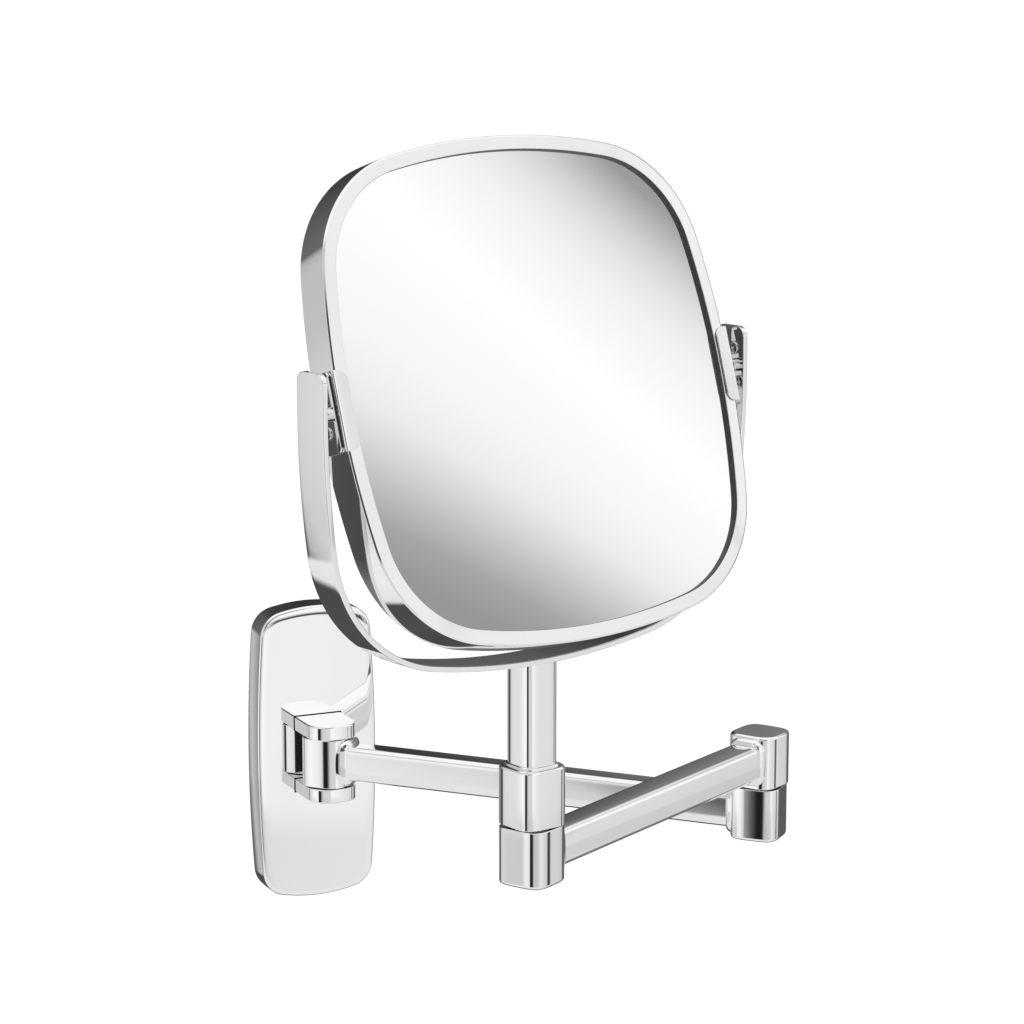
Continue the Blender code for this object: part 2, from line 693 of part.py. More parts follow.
def move_to_pivot(piece, side):
    """Puts a piece that was made around the x axis on the pivot, on the left or the right."""
    if side < 0:
        piece.data.transform(Matrix.Rotation(math.pi, 4, "Z"))
    piece.data.transform(Matrix.Translation((0, 0, PIVOT_HEIGHT * MM)))


def build_pivot_stud(side, place, joint):
    """A headed stud, riveted into the fork's arm, that the mirror turns on."""
    web_in = HEAD_HALF_WIDTH + GAP
    head_low = web_in + REST / 2
    head_high = web_in + SADDLE_THICKNESS - REST / 2
    tip = FORK_HALF_WIDTH - FORK_THICKNESS + STUD_GRIP
    profile = [(0, tip), (STUD_RADIUS, tip), (STUD_RADIUS, head_high)]
    profile += [(STUD_HEAD_RADIUS, head_high), (STUD_HEAD_RADIUS, head_low), (0, head_low)]
    stud = turned("pivot_stud_" + place, profile, ALONG_X, 16)
    move_to_pivot(stud, side)
    finish(stud, "steel", joint)


# Mirror head


def build_frame(joint):
    """The deep front frame with its bezel, and the ring that closes the back."""
    half = HEAD_DEPTH / 2
    path = arched_square(HEAD_SHAPE)
    edge = HEAD_EDGE
    fillet = arc((edge, -half + edge), edge, math.pi, 1.5 * math.pi, 3)
    shell_section = [(0, half)] + fillet + [
        (BEZEL_WIDTH, -half),
        (BEZEL_WIDTH, -half + BEZEL_THICKNESS),
        (SHELL_WALL, -half + BEZEL_THICKNESS),
        (SHELL_WALL, half),
    ]
    shell = swept_ring("frame_shell", path, shell_section)
    for side in (-1, 1):
        for height in (-PIVOT_SCREW_SPACING / 2, PIVOT_SCREW_SPACING / 2):
            inner, outer = HEAD_HALF_WIDTH - 5, HEAD_HALF_WIDTH + 5
            hole = rod("screw_hole", PIVOT_SCREW_RADIUS + GAP, inner, outer, ALONG_X, 16)
            place_at_side(hole, side, height)
            cut(shell, hole)
    finish(shell, "chrome", joint)
    skirt_out = SHELL_WALL + GAP
    skirt_in = skirt_out + SKIRT_THICKNESS
    lip = half - LIP_THICKNESS
    rear_section = [(skirt_out, half), (skirt_out, lip - 3), (skirt_in, lip - 3)]
    rear_section += [(skirt_in, lip), (BEZEL_WIDTH, lip), (BEZEL_WIDTH, half)]
    finish(swept_ring("rear_bezel", path, rear_section), "chrome", joint)


def place_at_side(piece, side, height):
    piece.data.transform(Matrix.Translation((0, 0, height * MM)))
    if side < 0:
        piece.data.transform(Matrix.Rotation(math.pi, 4, "Z"))


def dish(y_centre, radius, step):
    """(distance from the axis, y) points on a shallow bowl that opens to the back."""
    return [(r, y_centre + r * r / (2 * radius)) for r in range(0, 141, step)]


def build_glasses(joint):
    """The plain glass in front, the dished one behind and the plastic ring that spaces them."""
    front = -HEAD_DEPTH / 2 + GLASS_RECESS
    back = front + GLASS_THICKNESS
    outline = arched_square(HEAD_SHAPE, SHELL_WALL + GAP)
    finish(upright_slab("mirror_glass", [outline], front, back), "mirror", joint)
    dish_front = back + GAP
    ring = [arched_square(HEAD_SHAPE, inset) for inset in SPACER_INSETS]
    deepest = (HEAD_HALF_WIDTH - SPACER_INSETS[1]) ** 2 / (2 * MAGNIFIER_RADIUS)
    spacer = upright_slab("spacer_ring", ring, back + GAP, dish_front + deepest - GAP)
    finish(spacer, "black_plastic", joint)
    lower = dish(dish_front, MAGNIFIER_RADIUS, 20)
    upper = dish(dish_front + GLASS_THICKNESS, MAGNIFIER_RADIUS, 20)
    bowl = turned("magnifier_glass", upper + lower[::-1], None, 36)
    bowl.data.transform(UPRIGHT.inverted())
    trim = upright_slab("glass_trim", [arched_square(HEAD_SHAPE, MAGNIFIER_INSET)], -20, 20)
    combine(bowl, trim, "INTERSECT")
    finish(bowl, "mirror", joint)


def saddle_section():
    """Plan of the clip that grips the frame: a web outside it and a flange on its front and back."""
    thick = SADDLE_THICKNESS
    outside = HEAD_HALF_WIDTH + GAP + thick
    reach = HEAD_DEPTH / 2 + REST + thick
    inner = outside - SADDLE_WIDTH
    corner = SADDLE_BEND
    front = arc((outside - corner, -reach + corner), corner, -math.pi / 2, 0, 3)
    back = arc((outside - corner, reach - corner), corner, 0, math.pi / 2, 3)
    outer = [(inner, -reach)] + front + back + [(inner, reach)]
    web, flange = outside - thick, reach - thick
    return outer + [(inner, flange), (web, flange), (web, -flange), (inner, -flange)]


def build_pivot_side(side, place, joint):
    """One side's saddle, pivot plate, bush and two screws."""
    half = SADDLE_HEIGHT / 2
    web_in = HEAD_HALF_WIDTH + GAP
    web_out = web_in + SADDLE_THICKNESS
    plate_in = web_out + REST
    plate_out = plate_in + PIVOT_PLATE_THICKNESS
    saddle = slab("saddle_" + place, [saddle_section()], -half, half)
    place_at_side(saddle, side, 0)
    profile = rounded_rectangle(SADDLE_WIDTH * 2, half, SADDLE_CORNER)
    round_off = upright_slab("corner_trim", [profile], -HEAD_DEPTH, HEAD_DEPTH)
    round_off.data.transform(Matrix.Translation(((web_out + SADDLE_WIDTH) * MM, 0, 0)))
    place_at_side(round_off, side, 0)
    combine(saddle, round_off, "INTERSECT")
    eye = rod("stud_eye", STUD_HEAD_RADIUS + GAP, web_in - 2, web_out + 1, ALONG_X, 16)
    place_at_side(eye, side, 0)
    cut(saddle, eye)
    plate_shape = rounded_rectangle(half, PIVOT_PLATE_WIDTH / 2, PIVOT_PLATE_CORNER)
    plate = slab("pivot_plate_" + place, [plate_shape], plate_in, plate_out, ALONG_X)
    place_at_side(plate, side, 0)
    bush_eye = rod("bush_eye", BUSH_OUTER_RADIUS + GAP, plate_in - 1, plate_out + 1, ALONG_X, 16)
    place_at_side(bush_eye, side, 0)
    cut(plate, bush_eye)
    for height in (-PIVOT_SCREW_SPACING / 2, PIVOT_SCREW_SPACING / 2):
        for target in (saddle, plate):
            hole = rod("screw_hole", PIVOT_SCREW_RADIUS + GAP, web_in - 3, plate_out + 1, ALONG_X, 16)
            place_at_side(hole, side, height)
            cut(target, hole)
        level = "upper" if height > 0 else "lower"
        build_pivot_screw("pivot_screw_" + place + "_" + level, plate_out + REST, side, height, joint)
    finish(saddle, "chrome", joint)
    finish(plate, "chrome", joint)
    bush_out = FORK_HALF_WIDTH - FORK_THICKNESS - GAP
    radii = BUSH_INNER_RADIUS, BUSH_OUTER_RADIUS
    bush = washer("pivot_bush_" + place, *radii, plate_in, bush_out, ALONG_X, 16)
    place_at_side(bush, side, 0)
    finish(bush, "chrome", joint)


def build_pivot_screw(name, head_low, side, height, joint):
    top = head_low + PIVOT_SCREW_HEAD_HEIGHT
    tip = HEAD_HALF_WIDTH - SHELL_WALL - 0.9
    head, shank = PIVOT_SCREW_HEAD_RADIUS, PIVOT_SCREW_RADIUS
    profile = [(0, top), (0.7 * head, top), (head, top - 0.8), (head, head_low)]
    profile += [(shank, head_low), (shank, tip), (0, tip)]
    screw = turned(name, profile, ALONG_X, 16)
    recess = cross_recess(1.5, 0.35, top - 0.9, top + 1)
    for slot in recess:
        slot.data.transform(ALONG_X)
    for piece in [screw] + recess:
        place_at_side(piece, side, height)
    finish(cut(screw, *recess), "steel", joint)


def file_objects():
    """Files the pieces and the Boolean tools in their own collections."""
    parts = collection("extendable_shaving_mirror")
    tools = collection("cutters")
    tools.hide_render = True
    for group, home in ((PIECES, parts), (TOOLS, tools)):
        for piece in group:
            for old in list(piece.users_collection):
                old.objects.unlink(piece)
            home.objects.link(piece)


PIECES = []
TOOLS = []


def main():
    clear_scene()
    wall = joint_empty("wall", None, (0, 0, 0), (0, 0, 0))
    hinge = joint_empty("wall_hinge", wall, (0, -HINGE_OUT, 0), (0, 0, ARM_1_HEADING))
    elbow = joint_empty("elbow", hinge, (ARM_1_LENGTH, 0, 0), (0, 0, ARM_2_HEADING - ARM_1_HEADING))
    elbow_lower = joint_empty("elbow_lower", hinge, (ARM_1_LENGTH, 0, 0), (0, 0, 0))
    front = joint_empty("front_end", elbow, (ARM_2_LENGTH, 0, 0), (0, 0, 0))
    swivel = joint_empty("stem_swivel", front, (0, 0, 0), (0, 0, FORK_YAW - ARM_2_HEADING))
    tilt = joint_empty("mirror_tilt", swivel, (0, 0, PIVOT_HEIGHT), (HEAD_TILT, 0, 0))
    build_wall_bracket(wall)
    build_wall_cover(wall)
    build_clevis(wall)
    pin = joint_empty("pin_axis", wall, (0, -HINGE_OUT, 0), (0, 0, 0))
    build_hinge_pin(pin)
    build_arm_1(hinge, elbow_lower)
    arm_2_top = build_arm_2(elbow, front)
    build_collar_and_stem(swivel, arm_2_top - KNUCKLE_HEIGHT, arm_2_top)
    build_fork(swivel)
    build_frame(tilt)
    build_glasses(tilt)
    for side, place in ((-1, "left"), (1, "right")):
        build_pivot_stud(side, place, swivel)
        build_pivot_side(side, place, tilt)
    file_objects()


main()
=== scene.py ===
"""The looks of the extendable shaving mirror: fine chrome parts, two mirror glasses and a white studio.

Sizes are in millimetres in each group's own frame: the wall, arm 1, arm 2, the fork and the head.
"""
import json
import math

import bmesh
import bpy
from mathutils import Matrix, Vector


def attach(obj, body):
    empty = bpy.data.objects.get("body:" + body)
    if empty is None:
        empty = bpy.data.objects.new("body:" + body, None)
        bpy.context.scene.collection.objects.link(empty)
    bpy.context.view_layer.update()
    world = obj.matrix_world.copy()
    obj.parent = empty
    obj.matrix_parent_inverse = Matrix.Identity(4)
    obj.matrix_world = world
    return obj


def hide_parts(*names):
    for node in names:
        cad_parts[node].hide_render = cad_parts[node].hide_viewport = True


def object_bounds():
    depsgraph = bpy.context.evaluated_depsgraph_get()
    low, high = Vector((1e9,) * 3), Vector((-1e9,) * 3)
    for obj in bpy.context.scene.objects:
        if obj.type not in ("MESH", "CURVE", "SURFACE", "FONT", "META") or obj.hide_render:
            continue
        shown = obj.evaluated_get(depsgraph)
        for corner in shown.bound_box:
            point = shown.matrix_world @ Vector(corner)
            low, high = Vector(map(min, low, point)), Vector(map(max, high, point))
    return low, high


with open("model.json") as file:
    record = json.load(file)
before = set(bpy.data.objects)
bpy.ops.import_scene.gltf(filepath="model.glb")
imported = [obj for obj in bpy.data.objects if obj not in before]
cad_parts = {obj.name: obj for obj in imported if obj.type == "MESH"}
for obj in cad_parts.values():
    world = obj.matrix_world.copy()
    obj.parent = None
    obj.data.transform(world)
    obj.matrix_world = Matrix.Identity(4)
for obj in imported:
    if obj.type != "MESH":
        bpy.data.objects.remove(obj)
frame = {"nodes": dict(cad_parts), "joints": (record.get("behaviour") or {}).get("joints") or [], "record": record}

cad_low, cad_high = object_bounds()

MM = 0.001
JOINTS = {joint["name"]: joint for joint in frame["joints"]}

# The CAD model's own driving dimensions, mm and degrees. A SHAPE is an arched square: its half width and
# half height, the radius of its side arcs and of its top arcs, and its corner radius.
HEAD_TILT = -17.6
KNUCKLE_SIZE = 22.0
KNUCKLE_HEIGHT = 23.4
KNUCKLE_POWER = 4.0
WALL_KNUCKLE_POWER = 3.0
SEAM = 0.6
TUBE_WIDTH = 14.0
TUBE_HEIGHT = 16.2
TUBE_CORNER = 3.0
GAP = 0.3
COVER_SHAPE = (29.45, 69.9, 777.0, 81.0, 12.0)
COVER_DEPTH = 14.5
COVER_WALL = 2.1
EAR_THICKNESS = 6.4
EAR_HALF_WIDTH = 11.6
EAR_NOSE = 12.2
EAR_POWER = 2.7
COLLAR_HEIGHT = 24.0
STEM_SIZE = 16.2
FORK_SHAPE = (103.9, 106.5, 385.0, 298.0, 57.4)
FORK_THICKNESS = 2.3
FORK_DEPTH = 16.8
FORK_ARM_RISE = 16.3
FORK_TIP_CORNER = 4.0
HEAD_SHAPE = (95.4, 98.2, 336.0, 265.0, 49.2)
HEAD_DEPTH = 15.7
BEZEL_WIDTH = 5.7
BEZEL_THICKNESS = 1.7
SHELL_WALL = 1.2
GLASS_RECESS = 2.0
GLASS_THICKNESS = 2.0
MAGNIFIER_RADIUS = 1000.0
SADDLE_HEIGHT = 30.0
SADDLE_WIDTH = 6.3
SADDLE_THICKNESS = 0.9
SADDLE_CORNER = 4.0
PIVOT_PLATE_WIDTH = 13.2
PIVOT_PLATE_THICKNESS = 0.7
REST = 0.2
PIVOT_SCREW_HEIGHT = 7.0


def joint_point(name):
    return Vector(JOINTS[name]["pos_m"])


def heading(start, end):
    return math.atan2(end.y - start.y, end.x - start.x)


def group_frame(point, turn):
    return Matrix.Translation(Vector((point.x, point.y, 0))) @ Matrix.Rotation(turn, 4, "Z")


HINGE = joint_point("wall_hinge")
ELBOW = joint_point("elbow")
SWIVEL = joint_point("stem_swivel")
PIVOT = joint_point("mirror_tilt")
TILT_AXIS = Vector(JOINTS["mirror_tilt"]["axis"])
HINGE_OUT = -HINGE.y / MM
PIVOT_HEIGHT = PIVOT.z / MM
ARM_1_LENGTH = (ELBOW - HINGE).to_2d().length / MM
ARM_2_LENGTH = (SWIVEL - ELBOW).to_2d().length / MM

WALL = Matrix.Identity(4)
ARM_1 = group_frame(HINGE, heading(HINGE, ELBOW))
ARM_2 = group_frame(ELBOW, heading(ELBOW, SWIVEL))
FORK = group_frame(SWIVEL, math.atan2(TILT_AXIS.y, TILT_AXIS.x))
HEAD = FORK @ Matrix.Translation((0, 0, PIVOT.z)) @ Matrix.Rotation(math.radians(HEAD_TILT), 4, "X")


# Outlines as lists of (x, y) in mm, anticlockwise

QUADRANTS = ((1, 1), (-1, 1), (-1, -1), (1, -1))
PROJECTION_ROUNDS = 200


def superellipse(half_x, half_y, power, count=96, start=0.0, turn=2 * math.pi):
    points = []
    for i in range(count):
        angle = start + turn * i / count
        c, s = math.cos(angle), math.sin(angle)
        x = half_x * math.copysign(abs(c) ** (2 / power), c)
        y = half_y * math.copysign(abs(s) ** (2 / power), s)
        points.append((x, y))
    return points


def squarish_plan(size, power):
    """The plan of a squarish post, as a function of how far in from its side."""
    half = size / 2

    def plan(inset):
        return superellipse(half - inset, half - inset, power)

    return plan


def arc(centre, radius, start, end, steps):
    angles = [start + (end - start) * i / steps for i in range(steps + 1)]
    return [(centre[0] + radius * math.cos(a), centre[1] + radius * math.sin(a)) for a in angles]


def rounded_rectangle(half_x, half_y, corner, steps=10):
    points = []
    for quarter, (sx, sy) in enumerate(QUADRANTS):
        centre = (sx * (half_x - corner), sy * (half_y - corner))
        start = quarter * math.pi / 2
        points += arc(centre, corner, start, start + math.pi / 2, steps)
    return points


def corner_centre(half_width, half_height, side_arc, top_arc, corner):
    """Where a corner arc touches both the side arc and the top arc, by alternating projection."""
    x, y = half_width - corner, half_height - corner
    side_x, top_y = half_width - side_arc, half_height - top_arc
    for _ in range(PROJECTION_ROUNDS):
        x = side_x + math.sqrt((side_arc - corner) ** 2 - y * y)
        y = top_y + math.sqrt((top_arc - corner) ** 2 - x * x)
    return x, y


def arched_quarter(shape, inset=0.0, corner_steps=40, side_steps=16):
    """The upper right quarter of an arched square, from its side to its top."""
    half_width, half_height, side_arc, top_arc, corner = shape
    x, y = corner_centre(*shape)
    side_x, top_y = half_width - side_arc, half_height - top_arc
    low = math.atan2(y, x - side_x)
    high = math.atan2(y - top_y, x)
    points = arc((side_x, 0), side_arc - inset, 0, low, side_steps)
    points += arc((x, y), corner - inset, low, high, corner_steps)[1:]
    points += arc((0, top_y), top_arc - inset, high, math.pi / 2, side_steps)[1:]
    return points


def arched_square(shape, inset=0.0, corner_steps=40, side_steps=16):
    quarter = arched_quarter(shape, inset, corner_steps, side_steps)
    right = [(x, -y) for x, y in quarter[:0:-1]] + quarter
    left = [(-x, -y) for x, y in right[1:-1]]
    return right + left


def edge_profile(radius, steps=6):
    """(inset, setback) pairs round a convex quarter edge, from the side face to the end face."""
    return [
        (radius * (1 - math.cos(a)), radius * (1 - math.sin(a)))
        for a in [math.pi / 2 * i / steps for i in range(steps + 1)]
    ]


def crowned_side(start, end, crown, steps=8):
    """(inset, y) points of a side that swells by crown in its middle."""
    points = []
    for i in range(steps + 1):
        t = 2 * i / steps - 1
        points.append((crown * t * t, start + (end - start) * i / steps))
    return points


# Meshes

AXIS_RADIUS = 0.001
SHARP_ANGLE = 35


def mesh_object(name, work):
    bmesh.ops.recalc_face_normals(work, faces=work.faces)
    mesh = bpy.data.meshes.new(name)
    work.to_mesh(mesh)
    work.free()
    made = bpy.data.objects.new(name, mesh)
    bpy.context.scene.collection.objects.link(made)
    return made


def add_loft(work, rings, around=False):
    """Skins rings of equal length, given as (x, y, z) in mm. Open lofts get a cap at each end."""
    made = [[work.verts.new(Vector(p) * MM) for p in ring] for ring in rings]
    count = len(made)
    for i in range(count if around else count - 1):
        a, b = made[i], made[(i + 1) % count]
        for j in range(len(a)):
            k = (j + 1) % len(a)
            work.faces.new((a[j], a[k], b[k], b[j]))
    if not around:
        work.faces.new(made[0])
        work.faces.new(made[-1])


def loft(name, rings, around=False):
    work = bmesh.new()
    add_loft(work, rings, around)
    return mesh_object(name, work)


def post_rings(outline, low, high, low_edge, high_edge):
    """Rings of an upright post with rounded end edges. outline(inset) gives its plan."""
    rings = []
    for inset, setback in edge_profile(low_edge)[::-1]:
        rings.append([(x, y, low + setback) for x, y in outline(inset)])
    for inset, setback in edge_profile(high_edge):
        rings.append([(x, y, high - setback) for x, y in outline(inset)])
    return rings


def turned(name, profile, steps=64):
    """A turned piece about z. The profile's (radius, z) points run down its outer side."""
    turn = 2 * math.pi * (1 - 1 / steps)
    rings = []
    for radius, z in profile:
        circle = arc((0, 0), max(radius, AXIS_RADIUS), 0, turn, steps - 1)
        rings.append([(x, y, z) for x, y in circle])
    return loft(name, rings)


def ring_of(name, path, section):
    """A ring along an upright path. path(inset) gives its outline, section its (inset, y) points."""
    columns = [path(inset) for inset, _ in section]
    rings = []
    for i in range(len(columns[0])):
        rings.append([(column[i][0], y, column[i][1]) for column, (_, y) in zip(columns, section)])
    return loft(name, rings, around=True)


def prism(name, outline, low, high):
    return loft(name, [[(x, y, z) for x, y in outline] for z in (low, high)])


def block(name, low, high):
    outline = [(low[0], low[1]), (high[0], low[1]), (high[0], high[1]), (low[0], high[1])]
    return prism(name, outline, low[2], high[2])


def soften(piece, width, segments, angle):
    bevel = piece.modifiers.new("rounded edges", "BEVEL")
    bevel.width = width * MM
    bevel.segments = segments
    bevel.limit_method = "ANGLE"
    bevel.angle_limit = math.radians(angle)


def combine(piece, tool, operation):
    """Applies a Boolean with a tool, which is removed."""
    boolean = piece.modifiers.new("boolean", "BOOLEAN")
    boolean.operation = operation
    boolean.solver = "EXACT"
    boolean.object = tool
    bpy.context.view_layer.update()
    graph = bpy.context.evaluated_depsgraph_get()
    mesh = bpy.data.meshes.new_from_object(piece.evaluated_get(graph))
    piece.modifiers.clear()
    piece.data = mesh
    bpy.data.objects.remove(tool, do_unlink=True)


def dress(piece, body, slot, matrix):
    """Puts a piece in the world on its body, with its slot's material and smooth shading."""
    piece.data.transform(matrix)
    piece.data.materials.clear()
    piece.data.materials.append(SLOT_MATERIALS[slot])
    piece.data.shade_smooth()
    piece.data.set_sharp_from_angle(angle=math.radians(SHARP_ANGLE))
    weighted = piece.modifiers.new("weighted normals", "WEIGHTED_NORMAL")
    weighted.weight = 100
    weighted.keep_sharp = True
    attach(piece, body)


def place(piece, body, node_name, slot, matrix):
    """Dresses a piece and has it stand for its CAD node."""
    dress(piece, body, slot, matrix)
    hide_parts(node_name)


# Materials


def principled(name, colour, metallic, roughness):
    made = bpy.data.materials.new(name)
    made.use_nodes = True
    shader = made.node_tree.nodes["Principled BSDF"]
    shader.inputs["Base Color"].default_value = (*colour, 1)
    shader.inputs["Metallic"].default_value = metallic
    shader.inputs["Roughness"].default_value = roughness
    return made, made.node_tree, shader


def node(tree, kind, **values):
    made = tree.nodes.new(kind)
    for key, value in values.items():
        if key in made.inputs:
            made.inputs[key].default_value = value
        else:
            setattr(made, key, value)
    return made


def noise(tree, scale, detail, roughness=0.5, stretch=(1, 1, 1)):
    """Object-space noise, with the scale in features per metre."""
    where = node(tree, "ShaderNodeTexCoord")
    mapping = node(tree, "ShaderNodeMapping", Scale=stretch)
    texture = node(tree, "ShaderNodeTexNoise", Scale=scale, Detail=detail, Roughness=roughness)
    tree.links.new(where.outputs["Object"], mapping.inputs["Vector"])
    tree.links.new(mapping.outputs["Vector"], texture.inputs["Vector"])
    return texture.outputs["Fac"]


def ranged(tree, source, span, result=(0, 1), kind="LINEAR"):
    """Carries a value from one span to another, held at its ends."""
    made = node(tree, "ShaderNodeMapRange", interpolation_type=kind)
    for name, value in zip(("From Min", "From Max", "To Min", "To Max"), (*span, *result)):
        made.inputs[name].default_value = value
    tree.links.new(source, made.inputs["Value"])
    return made.outputs["Result"]


def mixed(tree, share, first, second):
    """Blends two colours, each a tuple or a socket."""
    made = node(tree, "ShaderNodeMix", data_type="RGBA")
    factor, a, b = made.inputs[0], made.inputs[6], made.inputs[7]
    tree.links.new(share, factor)
    for socket, value in ((a, first), (b, second)):
        if isinstance(value, tuple):
            socket.default_value = (*value, 1)
        else:
            tree.links.new(value, socket)
    return made.outputs[2]


def bump(tree, shader, height, distance, strength):
    made = node(tree, "ShaderNodeBump", Distance=distance, Strength=strength)
    tree.links.new(height, made.inputs["Height"])
    tree.links.new(made.outputs["Normal"], shader.inputs["Normal"])


def chrome_material():
    """Mirror-bright plate: a faint polishing ripple, thin wipe marks and a little tarnish."""
    made, tree, shader = principled("polished_chrome", (0.9, 0.9, 0.91), metallic=1.0, roughness=0.03)
    wipes = noise(tree, scale=60, detail=4, roughness=0.6, stretch=(1, 1, 7))
    haze = ranged(tree, wipes, (0.45, 0.8), (0.018, 0.06))
    tree.links.new(haze, shader.inputs["Roughness"])
    tarnish = ranged(tree, noise(tree, scale=18, detail=2), (0.35, 0.7))
    colour = mixed(tree, tarnish, (0.905, 0.905, 0.905), (0.865, 0.867, 0.87))
    tree.links.new(colour, shader.inputs["Base Color"])
    bump(tree, shader, noise(tree, scale=120, detail=1), distance=0.00002, strength=0.12)
    return made


def steel_material(name, colour, roughness):
    """Zinc-plated steel: fine turning marks and patchy plate."""
    made, tree, shader = principled(name, colour, metallic=1.0, roughness=roughness)
    patches = noise(tree, scale=350, detail=3)
    gloss = ranged(tree, patches, (0.3, 0.75), (roughness * 0.7, roughness * 1.5))
    tree.links.new(gloss, shader.inputs["Roughness"])
    darker = tuple(0.75 * value for value in colour)
    stains = ranged(tree, noise(tree, scale=140, detail=4), (0.5, 0.8))
    tree.links.new(mixed(tree, stains, colour, darker), shader.inputs["Base Color"])
    marks = noise(tree, scale=1500, detail=2, stretch=(1, 1, 5))
    bump(tree, shader, marks, distance=0.00004, strength=0.3)
    return made


def glass_material():
    """Silvered glass: a clean bright mirror with a trace of wiping haze."""
    made, tree, shader = principled("silvered_glass", (0.93, 0.94, 0.94), metallic=1.0, roughness=0.005)
    wipes = noise(tree, scale=9, detail=5, roughness=0.65)
    tree.links.new(ranged(tree, wipes, (0.55, 0.85), (0.0, 0.02)), shader.inputs["Roughness"])
    share = ranged(tree, noise(tree, scale=6, detail=2), (0.4, 0.7))
    tint = mixed(tree, share, (0.93, 0.932, 0.931), (0.915, 0.92, 0.918))
    tree.links.new(tint, shader.inputs["Base Color"])
    return made


def plastic_material(name, colour, roughness):
    """Moulded plastic: slightly mottled, with a fine grain."""
    made, tree, shader = principled(name, colour, metallic=0.0, roughness=roughness)
    paler = tuple(min(1, 1.15 * value + 0.01) for value in colour)
    mottle = ranged(tree, noise(tree, scale=400, detail=3), (0.4, 0.7))
    tree.links.new(mixed(tree, mottle, colour, paler), shader.inputs["Base Color"])
    grain = noise(tree, scale=900, detail=2)
    gloss = ranged(tree, grain, (0.3, 0.7), (roughness - 0.08, roughness + 0.08))
    tree.links.new(gloss, shader.inputs["Roughness"])
    bump(tree, shader, noise(tree, scale=2500, detail=2), distance=0.00003, strength=0.4)
    return made


SLOT_MATERIALS = {
    "polished_chrome": chrome_material(),
    "screw_steel": steel_material("screw_steel", (0.66, 0.66, 0.68), 0.22),
    "bracket_steel": steel_material("bracket_steel", (0.52, 0.53, 0.56), 0.38),
    "silvered_glass": glass_material(),
    "nylon": plastic_material("nylon", (0.78, 0.77, 0.73), 0.42),
    "black_plastic": plastic_material("black_plastic", (0.035, 0.035, 0.037), 0.5),
}


def dress_cad_nodes():
    """Gives every CAD node its slot's material; the visible ones are replaced below."""
    for row in frame["record"]["subparts"]:
        piece = frame["nodes"][row["node"]]
        piece.data.materials.clear()
        piece.data.materials.append(SLOT_MATERIALS[row["material_slot"]])


# Wall group

COVER_FILLET = 1.5
COVER_BACK_EDGE = 0.7
COVER_CROWN = 0.14
COVER_DOME = 0.09
COVER_ROLL = 3.0
COVER_ROLL_STEPS = 14
CENTRE_SHARE = 0.02
WINDOW_GAP = 0.35
EAR_BACK = -8.0
EAR_NOSE_STEPS = 60
EAR_EDGES = (0.7, 0.35)  # rounding of the side away from the knuckle, and of the side next to it
FOOT_HALF_HEIGHT = 32.0
FOOT_CORNER = 2.0
FOOT_SPAN = (-9.0, -6.2)


def cover_ring(inset, y):
    return [(x, y, z) for x, z in arched_square(COVER_SHAPE, inset, corner_steps=24)]


def shrunk(ring, share):
    """A ring drawn in towards the cover's middle, in its own plane."""
    return [(share * x, y, share * z) for x, y, z in ring]


def roll_off(share):
    """How far the face has risen, part of the way in from its edge to its flat middle."""
    return COVER_DOME * (1 - (1 - share) ** 2)


def build_cover():
    """The cover: swelling sides, a soft edge and a face that rolls off a little to its edges."""
    face = COVER_DEPTH - COVER_DOME
    inside = -(COVER_DEPTH - COVER_WALL)
    hollow = cover_ring(COVER_WALL, inside)
    rings = [shrunk(hollow, CENTRE_SHARE), hollow, cover_ring(COVER_WALL, 0)]
    for inset, setback in edge_profile(COVER_BACK_EDGE, 5)[::-1]:
        rings.append(cover_ring(inset + COVER_CROWN, -setback))
    sides = crowned_side(-COVER_BACK_EDGE, -(face - COVER_FILLET), COVER_CROWN, 10)
    rings += [cover_ring(inset, y) for inset, y in sides[1:-1]]
    for inset, setback in edge_profile(COVER_FILLET, 8):
        rings.append(cover_ring(inset + COVER_CROWN, -(face - setback)))
    edge = COVER_FILLET + COVER_CROWN
    for i in range(1, COVER_ROLL_STEPS + 1):
        t = i / COVER_ROLL_STEPS
        rings.append(cover_ring(edge + t * COVER_ROLL, -(face + roll_off(t))))
    flat = rings[-1]
    rings += [shrunk(flat, share) for share in (0.8, 0.5, CENTRE_SHARE)]
    cover = loft("cover_shell", rings)
    for side in (-1, 1):
        low, high = ear_span(side)
        half = EAR_HALF_WIDTH + WINDOW_GAP
        corner_low = (-half, -COVER_DEPTH - 1, low - WINDOW_GAP)
        corner_high = (half, inside + 1, high + WINDOW_GAP)
        combine(cover, block("window", corner_low, corner_high), "DIFFERENCE")
    place(cover, "wall_mount", "wall_cover", "polished_chrome", WALL)


def ear_span(side):
    inner = KNUCKLE_HEIGHT / 2
    return sorted((side * inner, side * (inner + EAR_THICKNESS)))


def ear_plan(inset):
    """One ear from above: straight from inside the cover to the hinge, then a squarish nose."""
    half = EAR_HALF_WIDTH - inset
    count = EAR_NOSE_STEPS + 1
    turn = math.pi * count / EAR_NOSE_STEPS
    nose = superellipse(half, EAR_NOSE - inset, EAR_POWER, count, math.pi, turn)
    return [(half, EAR_BACK), (-half, EAR_BACK)] + [(x, y - HINGE_OUT) for x, y in nose]


